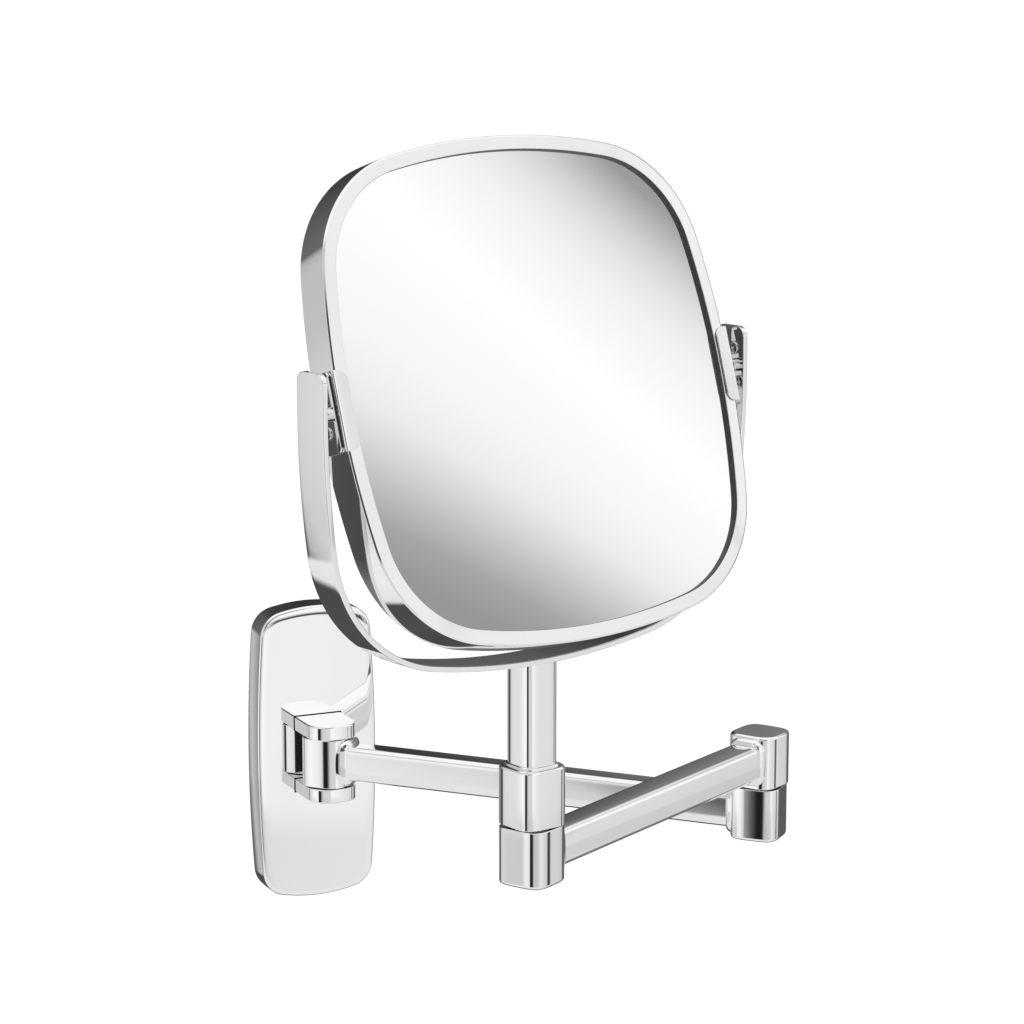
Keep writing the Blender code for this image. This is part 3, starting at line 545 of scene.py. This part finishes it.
def build_clevis():
    """Two ears that come out of the cover's windows, on a foot behind its front wall."""
    work = bmesh.new()
    for side in (-1, 1):
        edges = EAR_EDGES if side < 0 else EAR_EDGES[::-1]
        add_loft(work, post_rings(ear_plan, *ear_span(side), *edges))
    foot = rounded_rectangle(EAR_HALF_WIDTH, FOOT_HALF_HEIGHT, FOOT_CORNER)
    add_loft(work, [[(x, y, z) for x, z in foot] for y in FOOT_SPAN])
    place(mesh_object("clevis_ears", work), "wall_mount", "hinge_clevis", "polished_chrome", WALL)


# Arms

TUBE_SIDE_CROWN = 0.2
TUBE_TOP_CROWN = 0.07
TUBE_TUCK = 0.02
TUBE_END_CLEARANCE = 1.0
FILLET_NARROWING = 0.28
FILLET_TAIL = 1.5
FILLET_SINK = 0.1
FILLET_ROOT = (3.0, 0.4)  # its reach from the knuckle's axis, and its share of the tube's width
KNUCKLE_REACH = 0.999  # of its half width: beyond it no side faces the tube
WALL_FILLET = 3.1
ARM_FILLET = 2.4
CRISP_EDGE = 0.35
LOWER_EDGE = 1.6
UPPER_EDGE = 1.5


def tube_plan(grow):
    """The tube's section, with faces that swell a little between its corners."""
    corner = TUBE_CORNER + grow
    half_y, half_z = TUBE_WIDTH / 2 + grow, TUBE_HEIGHT / 2 + grow
    run_y, run_z = half_y - corner, half_z - corner
    side_lean = math.atan(2 * TUBE_SIDE_CROWN / run_z)
    top_lean = math.atan(2 * TUBE_TOP_CROWN / run_y)
    points = []
    for quarter, (sx, sy) in enumerate(QUADRANTS):
        centre = (sx * (run_y - TUBE_SIDE_CROWN), sy * (run_z - TUBE_TOP_CROWN))
        from_side = quarter % 2 == 0
        start_lean, end_lean = (side_lean, top_lean) if from_side else (top_lean, side_lean)
        start = quarter * math.pi / 2
        points += arc(centre, corner, start + start_lean, start + math.pi / 2 - end_lean, 8)
        for t in (2 / 3, 1 / 3, 0, -1 / 3, -2 / 3):
            if from_side:
                points.append((sx * t * run_y, sy * (half_z - TUBE_TOP_CROWN * t * t)))
            else:
                points.append((sx * (half_y - TUBE_SIDE_CROWN * t * t), sy * t * run_z))
    return points


def knuckle_surface(y, power):
    """How far the knuckle's side reaches along its tube, at a distance across it."""
    half = KNUCKLE_SIZE / 2
    return half * (1 - min(KNUCKLE_REACH, abs(y) / half) ** power) ** (1 / power)


def tube_end_rings(middle, side, fillet, power):
    """The fillet that carries a tube's end into the round side of a knuckle, along x."""
    rings = []
    for inset, setback in [(0, fillet + FILLET_TAIL)] + edge_profile(fillet, 8):
        grow = max(0, fillet - setback)
        away = fillet - inset + max(0, setback - fillet) - FILLET_SINK
        narrow = 1 - FILLET_NARROWING * grow / (TUBE_WIDTH / 2 + grow)
        ring = [(narrow * y, z) for y, z in tube_plan(grow)]
        rings.append([(side * (knuckle_surface(y, power) + away), y, z + middle) for y, z in ring])
    reach, share = FILLET_ROOT
    rings.append([(side * reach, share * y, z) for _, y, z in rings[-1]])
    return rings


def build_knuckle(name, node_name, body, matrix, power, span, edges, tube_side, fillet):
    low, high = span
    work = bmesh.new()
    add_loft(work, post_rings(squarish_plan(KNUCKLE_SIZE, power), low, high, *edges))
    add_loft(work, tube_end_rings((low + high) / 2, tube_side, fillet, power))
    place(mesh_object(name, work), body, node_name, "polished_chrome", matrix)


def build_tube(name, node_name, body, matrix, length, middle):
    clear = KNUCKLE_SIZE / 2 + TUBE_END_CLEARANCE
    plan = tube_plan(-TUBE_TUCK)
    rings = [[(x, y, z + middle) for y, z in plan] for x in (clear, length - clear)]
    place(loft(name, rings), body, node_name, "polished_chrome", matrix)


def build_arms():
    """Both arms. Arm 2's knuckles stand on arm 1's, and the height of their tops is returned."""
    half = KNUCKLE_HEIGHT / 2
    low = half + SEAM
    high = low + KNUCKLE_HEIGHT
    far_1 = ARM_1 @ Matrix.Translation((ARM_1_LENGTH * MM, 0, 0))
    far_2 = ARM_2 @ Matrix.Translation((ARM_2_LENGTH * MM, 0, 0))
    build_knuckle(
        "wall_knuckle", "arm1_wall_knuckle", "arm_1", ARM_1, WALL_KNUCKLE_POWER,
        span=(-half + GAP, half - GAP), edges=(CRISP_EDGE, CRISP_EDGE), tube_side=1, fillet=WALL_FILLET,
    )
    build_knuckle(
        "elbow_knuckle_lower", "arm1_elbow_knuckle", "arm_1", far_1, KNUCKLE_POWER,
        span=(-half, half), edges=(LOWER_EDGE, CRISP_EDGE), tube_side=-1, fillet=ARM_FILLET,
    )
    build_knuckle(
        "elbow_knuckle_upper", "arm2_elbow_knuckle", "arm_2", ARM_2, KNUCKLE_POWER,
        span=(low, high), edges=(CRISP_EDGE, UPPER_EDGE), tube_side=1, fillet=ARM_FILLET,
    )
    build_knuckle(
        "front_knuckle", "arm2_front_knuckle", "arm_2", far_2, KNUCKLE_POWER,
        span=(low, high), edges=(LOWER_EDGE, CRISP_EDGE), tube_side=-1, fillet=ARM_FILLET,
    )
    build_tube("lower_tube", "arm1_tube", "arm_1", ARM_1, ARM_1_LENGTH, 0)
    build_tube("upper_tube", "arm2_tube", "arm_2", ARM_2, ARM_2_LENGTH, (low + high) / 2)
    return high


# Fork

COLLAR_TOP_EDGE = 1.2
STEM_FILLET = 1.0
STEM_SUNK = 4.0
STEM_INTO_FORK = 0.4
FORK_CROWN = 0.03
FORK_EDGE = 0.45
FORK_TIP_FLAT = 0.1


def build_collar_and_stem(below):
    low = below + SEAM
    high = low + COLLAR_HEIGHT
    rings = post_rings(squarish_plan(KNUCKLE_SIZE, KNUCKLE_POWER), low, high, CRISP_EDGE, COLLAR_TOP_EDGE)
    place(loft("collar", rings), "fork", "swivel_collar", "polished_chrome", FORK)
    top = PIVOT_HEIGHT - FORK_SHAPE[1] + STEM_INTO_FORK
    plan = squarish_plan(STEM_SIZE, KNUCKLE_POWER)
    rings = [[(x, y, high - STEM_SUNK) for x, y in plan(-STEM_FILLET)]]
    for inset, setback in edge_profile(STEM_FILLET)[::-1]:
        rings.append([(x, y, high + STEM_FILLET - inset) for x, y in plan(setback - STEM_FILLET)])
    rings.append([(x, y, top) for x, y in plan(0)])
    place(loft("stem_post", rings), "fork", "stem", "polished_chrome", FORK)


def band_half_depth(z):
    """Half the band's depth at a height: it rounds off towards each tip."""
    corner = FORK_TIP_CORNER
    top = PIVOT_HEIGHT + FORK_ARM_RISE
    above = z - (top - corner)
    half = FORK_DEPTH / 2
    if above <= 0:
        return half
    return half - corner + math.sqrt(max(corner ** 2 - above ** 2, FORK_TIP_FLAT ** 2))


def fork_line(inset):
    """The U seen from the front, from the top of one arm to the top of the other."""
    quarter = arched_quarter(FORK_SHAPE, inset, corner_steps=40, side_steps=24)
    lower = [(-x, -y) for x, y in quarter] + [(x, -y) for x, y in quarter[-2::-1]]
    side = lower[-1][0]
    straight = FORK_ARM_RISE - FORK_TIP_CORNER
    tip = [FORK_TIP_CORNER * math.sin(math.pi / 2 * i / 10) for i in range(11)]
    rise = [straight * i / 4 for i in range(1, 4)] + [straight + t for t in tip]
    points = [(-side, z) for z in rise[::-1]] + lower + [(side, z) for z in rise]
    return [(x, z + PIVOT_HEIGHT) for x, z in points]


def fork_section():
    """(inset, side, setback) points round the band: an edge is set back from its front or back side."""
    turn = edge_profile(FORK_EDGE, 4)
    half = [(inset + FORK_CROWN, setback) for inset, setback in turn]
    half += [(FORK_THICKNESS - inset, setback) for inset, setback in turn[::-1]]
    section = [(inset, -1, setback) for inset, setback in half]
    section += [(inset, 1, setback) for inset, setback in half[::-1]]
    for i in range(1, 8):
        t = 1 - i / 4
        section.append((FORK_CROWN * t * t, t, FORK_EDGE * abs(t)))
    return section


def build_fork_band():
    """The band, as a section with softened edges carried along the U, finer towards its tips."""
    columns = [(fork_line(inset), side, setback) for inset, side, setback in fork_section()]
    rings = []
    for i in range(len(columns[0][0])):
        rings.append([
            (line[i][0], side * (band_half_depth(line[i][1]) - setback), line[i][1])
            for line, side, setback in columns
        ])
    place(loft("fork_strap", rings), "fork", "fork_band", "polished_chrome", FORK)


# Mirror head

SIDE_CROWN = 0.05
RIM_EDGE = 0.4
RIM_CHAMFER_WIDTH = 0.62
RIM_CHAMFER_FALL = 0.36
CHAMFER_SUPPORT = 0.08  # of its width, between each end and the ring that keeps it flat
FACE_SUPPORT = (0.06, 0.005)  # the same for the rim's face: how far in and how far forward
RIM_FALL = 0.3
LIP = 0.25
BACK_EDGE = 0.3
BACK_LIP = 0.4
BACK_RING_DEPTH = 4.5
BACK_RING_WALL = 1.2
BACK_RING_THICKNESS = 1.5
GLASS_CLEARANCE = 0.2
GLASS_EDGE = 0.5
# The thin black strip round the glass is painted shade for the dark gap between the rim and the glass
SHADE_STRIP_WIDTH = 0.1
SHADE_STRIP_EDGE = 0.05
SHADE_STRIP_LAP = 0.02
MAGNIFIER_INSET = 2.9
MAGNIFIER_STEPS = 26
MAGNIFIER_CENTRE = 0.01


def head_outline(inset):
    return arched_square(HEAD_SHAPE, inset)


def rim_profile(half):
    """The front rim: a rounded edge, a narrow chamfer, a face that falls a little outwards, and a lip."""
    turn = edge_profile(RIM_EDGE, 9)[:7]
    outer, high = turn[-1]
    start = -half + RIM_FALL + RIM_CHAMFER_FALL - high
    points = [(inset, start + setback) for inset, setback in turn]
    for share in (CHAMFER_SUPPORT, 1 - CHAMFER_SUPPORT, 1):
        points.append((outer + share * RIM_CHAMFER_WIDTH, start + high - share * RIM_CHAMFER_FALL))
    further, forward = FACE_SUPPORT
    points.append((outer + RIM_CHAMFER_WIDTH + further, -half + RIM_FALL - forward))
    points.append((BEZEL_WIDTH - LIP, -half))
    for inset, setback in edge_profile(LIP, 5)[::-1][1:]:
        points.append((BEZEL_WIDTH - inset, -half + setback))
    return points


def build_head_shell():
    """The deep frame: its crowned side, its front rim, and a hollow that is open to the back."""
    half = HEAD_DEPTH / 2
    rim = rim_profile(half)
    section = crowned_side(half - BACK_EDGE, rim[0][1], SIDE_CROWN)
    section += [(inset + SIDE_CROWN * max(0, 1 - inset / RIM_EDGE), y) for inset, y in rim[1:]]
    section += [(BEZEL_WIDTH, -half + BEZEL_THICKNESS), (SHELL_WALL, -half + BEZEL_THICKNESS)]
    section += [(SHELL_WALL, half), (BACK_EDGE, half)]
    shell = ring_of("head_shell", head_outline, section)
    place(shell, "mirror_head", "frame_shell", "polished_chrome", HEAD)


def build_back_ring():
    """The ring that closes the back: a short wall inside the frame, and a flat face round the glass."""
    half = HEAD_DEPTH / 2
    out = SHELL_WALL + GAP / 2
    wall_in = out + BACK_RING_WALL
    wall_end = half - BACK_RING_DEPTH
    under = half - BACK_RING_THICKNESS
    section = [(out, half - BACK_EDGE), (out, wall_end), (wall_in, wall_end), (wall_in, under)]
    section += [(BEZEL_WIDTH, under), (BEZEL_WIDTH, half - BACK_LIP)]
    section += [(BEZEL_WIDTH - BACK_LIP, half), (out + BACK_EDGE, half)]
    ring = ring_of("head_back_ring", head_outline, section)
    place(ring, "mirror_head", "rear_bezel", "polished_chrome", HEAD)


def build_front_glass():
    front = -HEAD_DEPTH / 2 + GLASS_RECESS
    inset = SHELL_WALL + GLASS_CLEARANCE
    levels = ((inset + GLASS_EDGE, front), (inset, front + GLASS_EDGE), (inset, front + GLASS_THICKNESS))
    rings = [[(x, y, z) for x, z in head_outline(grow)] for grow, y in levels]
    place(loft("plain_glass", rings), "mirror_head", "mirror_glass", "silvered_glass", HEAD)


def build_glass_shade_strip():
    """A thin black strip in the corner between the front rim and the glass: painted shade for the dark gap there,
    not a part of the mirror.
    """
    top = -HEAD_DEPTH / 2 + LIP
    bottom = -HEAD_DEPTH / 2 + GLASS_RECESS - SHADE_STRIP_LAP
    outer, inner = BEZEL_WIDTH - SHADE_STRIP_LAP, BEZEL_WIDTH + SHADE_STRIP_WIDTH
    section = [(outer, top), (inner - SHADE_STRIP_EDGE, top), (inner, top + SHADE_STRIP_EDGE)]
    section += [(inner, bottom), (outer, bottom)]
    # Painted shade: a black strip in the recess where the rim meets the glass
    dress(ring_of("glass_shade_strip", head_outline, section), "mirror_head", "black_plastic", HEAD)


def build_magnifier():
    """The rear glass: a bowl of one radius, cut to the frame's outline."""
    front = -HEAD_DEPTH / 2 + GLASS_RECESS + GLASS_THICKNESS + GAP
    edge = head_outline(MAGNIFIER_INSET)

    def bowl(share, y):
        ring = [(share * x, share * z) for x, z in edge]
        return [(x, y + (x * x + z * z) / (2 * MAGNIFIER_RADIUS), z) for x, z in ring]

    shares = [MAGNIFIER_CENTRE] + [i / MAGNIFIER_STEPS for i in range(1, MAGNIFIER_STEPS + 1)]
    rings = [bowl(share, front) for share in shares]
    rings += [bowl(share, front + GLASS_THICKNESS) for share in shares[::-1]]
    place(loft("dished_glass", rings), "mirror_head", "magnifier_glass", "silvered_glass", HEAD)


# Pivots, made for the head's right-hand side

CLIP_BEND = 1.05
CLIP_FLANGE_FALL = 0.22
CLIP_EDGE = 0.38
TRIM_REACH = 20.0
PLATE_CORNER = 2.0
PLATE_EDGE = 0.2
BUSH_RADIUS = 2.7
BUSH_SHOULDER = 0.6
SCREW_RADIUS = 2.75
SCREW_HEIGHT = 1.3
SCREW_RIM = 0.35
SHANK_RADIUS = 1.3
SHANK_LENGTH = 4.0
SCREW_LIFT = 0.05
RECESS_REACH = 1.6
RECESS_HALF_WIDTH = 0.38
RECESS_DEPTH = 0.8
ALONG_X = Matrix.Rotation(math.radians(90), 4, "Y")


def side_turn(side):
    """Turns a piece that is made for the right-hand pivot to either side of the head."""
    return Matrix.Identity(4) if side > 0 else Matrix.Rotation(math.pi, 4, "Z")


def clip_section():
    """Plan of the clip that grips the frame: a web outside it and a flange on its front and back."""
    thick, bend = SADDLE_THICKNESS, CLIP_BEND
    outside = HEAD_SHAPE[0] + GAP + thick
    reach = HEAD_DEPTH / 2 + REST + thick
    inner = outside - SADDLE_WIDTH
    front = arc((outside - bend, -reach + CLIP_FLANGE_FALL + bend), bend, -math.pi / 2, 0, 8)
    back = arc((outside - bend, reach - CLIP_FLANGE_FALL - bend), bend, 0, math.pi / 2, 8)
    small = bend - thick
    back_in = arc((outside - bend, reach - bend), small, math.pi / 2, 0, 3)
    front_in = arc((outside - bend, -reach + bend), small, 0, -math.pi / 2, 3)
    outer = [(inner, -reach)] + front + back + [(inner, reach)]
    return outer + [(inner, reach - thick)] + back_in + front_in + [(inner, -reach + thick)]


def build_clip(name):
    """The clip: its bent section, trimmed to flanges with round corners."""
    half = SADDLE_HEIGHT / 2
    clip = prism(name, clip_section(), -half, half)
    trim = rounded_rectangle(2 * SADDLE_WIDTH, half, SADDLE_CORNER)
    middle = HEAD_SHAPE[0] + GAP + SADDLE_THICKNESS + SADDLE_WIDTH
    tool = loft("trim", [[(middle + x, y, z) for x, z in trim] for y in (-TRIM_REACH, TRIM_REACH)])
    combine(clip, tool, "INTERSECT")
    soften(clip, CLIP_EDGE, segments=4, angle=50)
    return clip


def build_screw_plate(name, inside, outside):
    levels = ((inside, 0), (outside - PLATE_EDGE, 0), (outside, PLATE_EDGE))
    rings = []
    for x, inset in levels:
        half_y, half_z = PIVOT_PLATE_WIDTH / 2 - inset, SADDLE_HEIGHT / 2 - inset
        rings.append([(x, y, z) for y, z in rounded_rectangle(half_y, half_z, PLATE_CORNER - inset)])
    return loft(name, rings)


def boss_profile(radius, low, high):
    """A round boss with a soft shoulder at its outer end."""
    shoulder = [(radius - inset, high - setback) for inset, setback in edge_profile(BUSH_SHOULDER, 5)[::-1]]
    return [(0, high)] + shoulder + [(radius, low), (0, low)]


def build_screw(name, base):
    """A pan head with a cross recess, along z, on a short shank."""
    top = base + SCREW_HEIGHT
    dome = SCREW_HEIGHT - SCREW_RIM
    crown = [(SCREW_RADIUS * x, top - dome + dome * y) for x, y in arc((0, 0), 1, math.pi / 2, 0, 8)]
    foot = base - SHANK_LENGTH
    shank = [(SCREW_RADIUS, base), (SHANK_RADIUS, base), (SHANK_RADIUS, foot), (0, foot)]
    screw = turned(name, crown + shank, 48)
    long, short = RECESS_REACH, RECESS_HALF_WIDTH
    for x, y in ((long, short), (short, long)):
        slot = block("slot", (-x, -y, top - RECESS_DEPTH), (x, y, top + 1))
        combine(screw, slot, "DIFFERENCE")
    return screw


def build_pivot_side(side, word):
    matrix = HEAD @ side_turn(side)
    plate_in = HEAD_SHAPE[0] + GAP + SADDLE_THICKNESS + REST
    plate_out = plate_in + PIVOT_PLATE_THICKNESS
    clip = build_clip("clip_" + word)
    place(clip, "mirror_head", "saddle_" + word, "polished_chrome", matrix)
    plate = build_screw_plate("screw_plate_" + word, plate_in, plate_out)
    place(plate, "mirror_head", "pivot_plate_" + word, "polished_chrome", matrix)
    bush_out = FORK_SHAPE[0] - FORK_THICKNESS - GAP
    bush = turned("bush_" + word, boss_profile(BUSH_RADIUS, plate_in, bush_out))
    bush.data.transform(ALONG_X)
    place(bush, "mirror_head", "pivot_bush_" + word, "polished_chrome", matrix)
    for level, height in (("lower", -PIVOT_SCREW_HEIGHT), ("upper", PIVOT_SCREW_HEIGHT)):
        screw = build_screw("pan_screw_" + word + "_" + level, plate_out + SCREW_LIFT)
        screw.data.transform(Matrix.Translation((0, 0, height * MM)) @ ALONG_X)
        place(screw, "mirror_head", "pivot_screw_" + word + "_" + level, "screw_steel", matrix)


# Studio

FLOOR_REACH = 40.0  # metres
FLOOR_DROP = 0.35  # metres below the object


def build_floor():
    mesh = bpy.data.meshes.new("studio_floor")
    work = bmesh.new()
    bmesh.ops.create_grid(work, x_segments=1, y_segments=1, size=FLOOR_REACH)
    work.to_mesh(mesh)
    work.free()
    floor = bpy.data.objects.new("studio_floor", mesh)
    floor.location = (0, 0, cad_low.z - FLOOR_DROP)
    bpy.context.scene.collection.objects.link(floor)
    made, _, _ = principled("pale_floor", (0.93, 0.93, 0.93), metallic=0.0, roughness=0.9)
    floor.data.materials.append(made)
    floor.visible_glossy = False


# Brightness of the studio round the object, as greys where 255 is white: (heading, grey) stops in six
# bands of height. A heading of 0 is behind the mirror, 90 to its right and 180 in front of it.
BELOW = (
    (-180, 225), (-60, 228), (-50, 236), (-38, 225), (-35, 72), (-5, 76), (17, 68), (50, 108),
    (76, 126), (84, 205), (95, 220), (180, 232),
)
LOW = (
    (-180, 204), (-141, 190), (-134, 172), (-131, 118), (-127.5, 44), (-120, 28), (-113.5, 36),
    (-111.4, 130), (-110, 205), (-104, 237), (-93, 236), (-88, 201), (-52, 216), (-45.5, 204),
    (-43.5, 86), (-29, 78), (-26.5, 140), (-19, 190), (-14, 96), (34, 74), (37, 226), (49, 232),
    (54, 84), (78, 96), (84, 196), (95, 211), (97, 90), (99.5, 50), (103, 62), (107, 200),
    (150, 232), (180, 204),
)
LEVEL = (
    (-180, 214), (-143, 206), (-135, 160), (-131, 112), (-127.5, 44), (-120, 28), (-113.5, 36),
    (-111.4, 130), (-110, 206), (-104, 240), (-90, 250), (-52, 222), (-45.5, 204), (-43.5, 86),
    (-29, 80), (-26.5, 142), (-19, 192), (-13, 96), (34, 74), (37, 232), (50, 236), (54, 80),
    (78, 96), (84, 200), (95, 222), (97, 110), (103, 80), (107, 214), (150, 230), (166, 246),
    (174, 246), (180, 214),
)
ABOVE = (
    (-180, 205), (-170, 215), (-111, 204), (-108, 244), (-102, 240), (-92, 202), (-62, 197),
    (-42, 190), (-38.5, 176), (-37, 104), (0, 70), (20, 50), (22.5, 56), (24.5, 80), (27, 104),
    (30, 124), (62, 114), (80, 140), (88, 215), (93, 250), (112, 244), (120, 234), (136, 236),
    (160, 262), (172, 258), (180, 205),
)
HIGH = (
    (-180, 196), (-60, 202), (-42, 196), (-36, 92), (-15, 76), (-6, 34), (6, 34), (18, 100),
    (50, 124), (62, 165), (74, 240), (84, 258), (104, 258), (112, 240), (140, 240), (152, 214),
    (180, 196),
)
ZENITH = ((-180, 250), (180, 250))
# The bands above the lowest, each with the height in degrees where it begins and where it is alone
UPPER_BANDS = (
    (LOW, -22.5, -20.2),
    (LEVEL, -16.7, -15.9),
    (ABOVE, -9, -1),
    (HIGH, 22, 34),
    (ZENITH, 41, 50),
)
# Where the camera stands the studio is dark, in degrees
CAMERA_SHADE_HEADING = -155.0
CAMERA_SHADE_HEIGHT = 17.0
CAMERA_SHADE_HALF_WIDTH = 17.0
CAMERA_SHADE_HALF_HEIGHT = 14.0
CAMERA_SHADE_EDGE = (0.8, 1.1)  # shares of its half sizes
CAMERA_SHADE_GREY = 80
# The broad soft light that the mirror glass shows: greys across its diagonal band, in degrees
SOFT_LIGHT_HEADING = 125.2
SOFT_LIGHT_HEIGHT = 18.2
SOFT_LIGHT_OFFSET = -1.1
SOFT_LIGHT_SLOPE = 0.52
SOFT_LIGHT_TWIST = 0.09
SOFT_LIGHT_EDGE = (6, 9)
SOFT_LIGHT = (
    (-8, 225), (-6, 170), (-4.4, 136), (-3.5, 156), (-2.7, 208), (-2.2, 226), (-1.6, 239), (0, 253),
    (1, 247), (2, 242), (3, 232), (3.7, 214), (4.5, 190), (5.4, 163), (6.5, 148), (8, 150), (10, 215),
)
# Chrome sends back this share of its light, so the studio is brighter than its greys by as much
CHROME_SHARE = 0.9
ROOM_LIGHT = (1.22, 1.22, 1.22)
WHITE = (1, 1, 1)


def linear(grey):
    value = grey / 255
    return value / 12.92 if value <= 0.04045 else ((value + 0.055) / 1.055) ** 2.4


def math_node(tree, operation, *values):
    made = node(tree, "ShaderNodeMath", operation=operation)
    for socket, value in zip(made.inputs, values):
        if isinstance(value, (int, float)):
            socket.default_value = value
        else:
            tree.links.new(value, socket)
    return made.outputs[0]


def distance_from(tree, angle, middle):
    return math_node(tree, "ABSOLUTE", math_node(tree, "SUBTRACT", angle, middle))


def grey_ramp(tree, angle, stops):
    """Greys along an angle in degrees, from the first stop's angle to the last one's."""
    low, high = stops[0][0], stops[-1][0]
    ramp = node(tree, "ShaderNodeValToRGB")
    elements = ramp.color_ramp.elements
    elements.remove(elements[1])
    for index, (where, grey) in enumerate(stops):
        position = (where - low) / (high - low)
        stop = elements[0] if index == 0 else elements.new(position)
        stop.position = position
        stop.color = (*[linear(grey) / CHROME_SHARE] * 3, 1)
    tree.links.new(ranged(tree, angle, (low, high)), ramp.inputs["Fac"])
    return ramp.outputs["Color"]


def add_bands(tree, heading_angle, height):
    """The greys of all six bands, blended where one band passes into the next."""
    colour = grey_ramp(tree, heading_angle, BELOW)
    for stops, low, high in UPPER_BANDS:
        share = ranged(tree, height, (low, high), kind="SMOOTHSTEP")
        colour = mixed(tree, share, colour, grey_ramp(tree, heading_angle, stops))
    return colour


def add_soft_light(tree, heading_angle, height, colour):
    """A bright diagonal band that fades to both sides, and leans more the further to its right."""
    rise = math_node(tree, "SUBTRACT", height, SOFT_LIGHT_HEIGHT)
    middle = SOFT_LIGHT_HEADING + SOFT_LIGHT_OFFSET
    centre_line = math_node(tree, "MULTIPLY_ADD", rise, SOFT_LIGHT_SLOPE, middle)
    across = math_node(tree, "SUBTRACT", heading_angle, centre_line)
    rightwards = math_node(tree, "MAXIMUM", across, 0)
    lean = math_node(tree, "MULTIPLY", math_node(tree, "MULTIPLY", rightwards, SOFT_LIGHT_TWIST), rise)
    light = grey_ramp(tree, math_node(tree, "SUBTRACT", across, lean), SOFT_LIGHT)
    aside = distance_from(tree, heading_angle, SOFT_LIGHT_HEADING)
    out = math_node(tree, "MAXIMUM", aside, math_node(tree, "ABSOLUTE", rise))
    return mixed(tree, ranged(tree, out, SOFT_LIGHT_EDGE, kind="SMOOTHSTEP"), light, colour)


def add_camera_shade(tree, heading_angle, height, colour):
    """Darkens a soft-edged rectangle of the studio, where the camera stands."""
    aside = distance_from(tree, heading_angle, CAMERA_SHADE_HEADING)
    above = distance_from(tree, height, CAMERA_SHADE_HEIGHT)
    aside = math_node(tree, "DIVIDE", aside, CAMERA_SHADE_HALF_WIDTH)
    above = math_node(tree, "DIVIDE", above, CAMERA_SHADE_HALF_HEIGHT)
    out = math_node(tree, "MAXIMUM", aside, above)
    dark = (linear(CAMERA_SHADE_GREY),) * 3
    return mixed(tree, ranged(tree, out, CAMERA_SHADE_EDGE, kind="SMOOTHSTEP"), dark, colour)


def build_world():
    """A white studio. What polished metal reflects of it is a ring of soft boxes and dark flags."""
    world = bpy.data.worlds.new("studio")
    world.use_nodes = True
    tree = world.node_tree
    where = node(tree, "ShaderNodeTexCoord").outputs["Generated"]
    split = node(tree, "ShaderNodeSeparateXYZ")
    tree.links.new(where, split.inputs[0])
    x, y, z = split.outputs
    heading_angle = math_node(tree, "DEGREES", math_node(tree, "ARCTAN2", x, y))
    height = math_node(tree, "DEGREES", math_node(tree, "ARCSINE", z))
    colour = add_bands(tree, heading_angle, height)
    colour = add_soft_light(tree, heading_angle, height, colour)
    colour = add_camera_shade(tree, heading_angle, height, colour)
    path = node(tree, "ShaderNodeLightPath")
    colour = mixed(tree, path.outputs["Is Diffuse Ray"], colour, ROOM_LIGHT)
    colour = mixed(tree, path.outputs["Is Camera Ray"], colour, WHITE)
    background = tree.nodes["Background"]
    tree.links.new(colour, background.inputs["Color"])
    background.inputs["Strength"].default_value = 1.0
    bpy.context.scene.world = world


CAMERA_PLACE = (-0.5378, -1.4168, 0.4053)
CAMERA_LOOKS_DOWN = 11.0
CAMERA_TURN = -24.44
CAMERA_LENS = 116.67


def build_camera():
    data = bpy.data.cameras.new("camera")
    data.sensor_width = 36
    data.lens = CAMERA_LENS
    camera = bpy.data.objects.new("camera", data)
    camera.location = CAMERA_PLACE
    camera.rotation_euler = (math.radians(90 - CAMERA_LOOKS_DOWN), 0, math.radians(CAMERA_TURN))
    bpy.context.scene.collection.objects.link(camera)
    bpy.context.scene.camera = camera
    bpy.context.scene.view_settings.view_transform = "Standard"


dress_cad_nodes()
build_cover()
build_clevis()
arm_2_top = build_arms()
build_collar_and_stem(arm_2_top)
build_fork_band()
build_head_shell()
build_back_ring()
build_front_glass()
build_glass_shade_strip()
build_magnifier()
for sign, side_name in ((-1, "left"), (1, "right")):
    build_pivot_side(sign, side_name)
build_floor()
build_world()
build_camera()
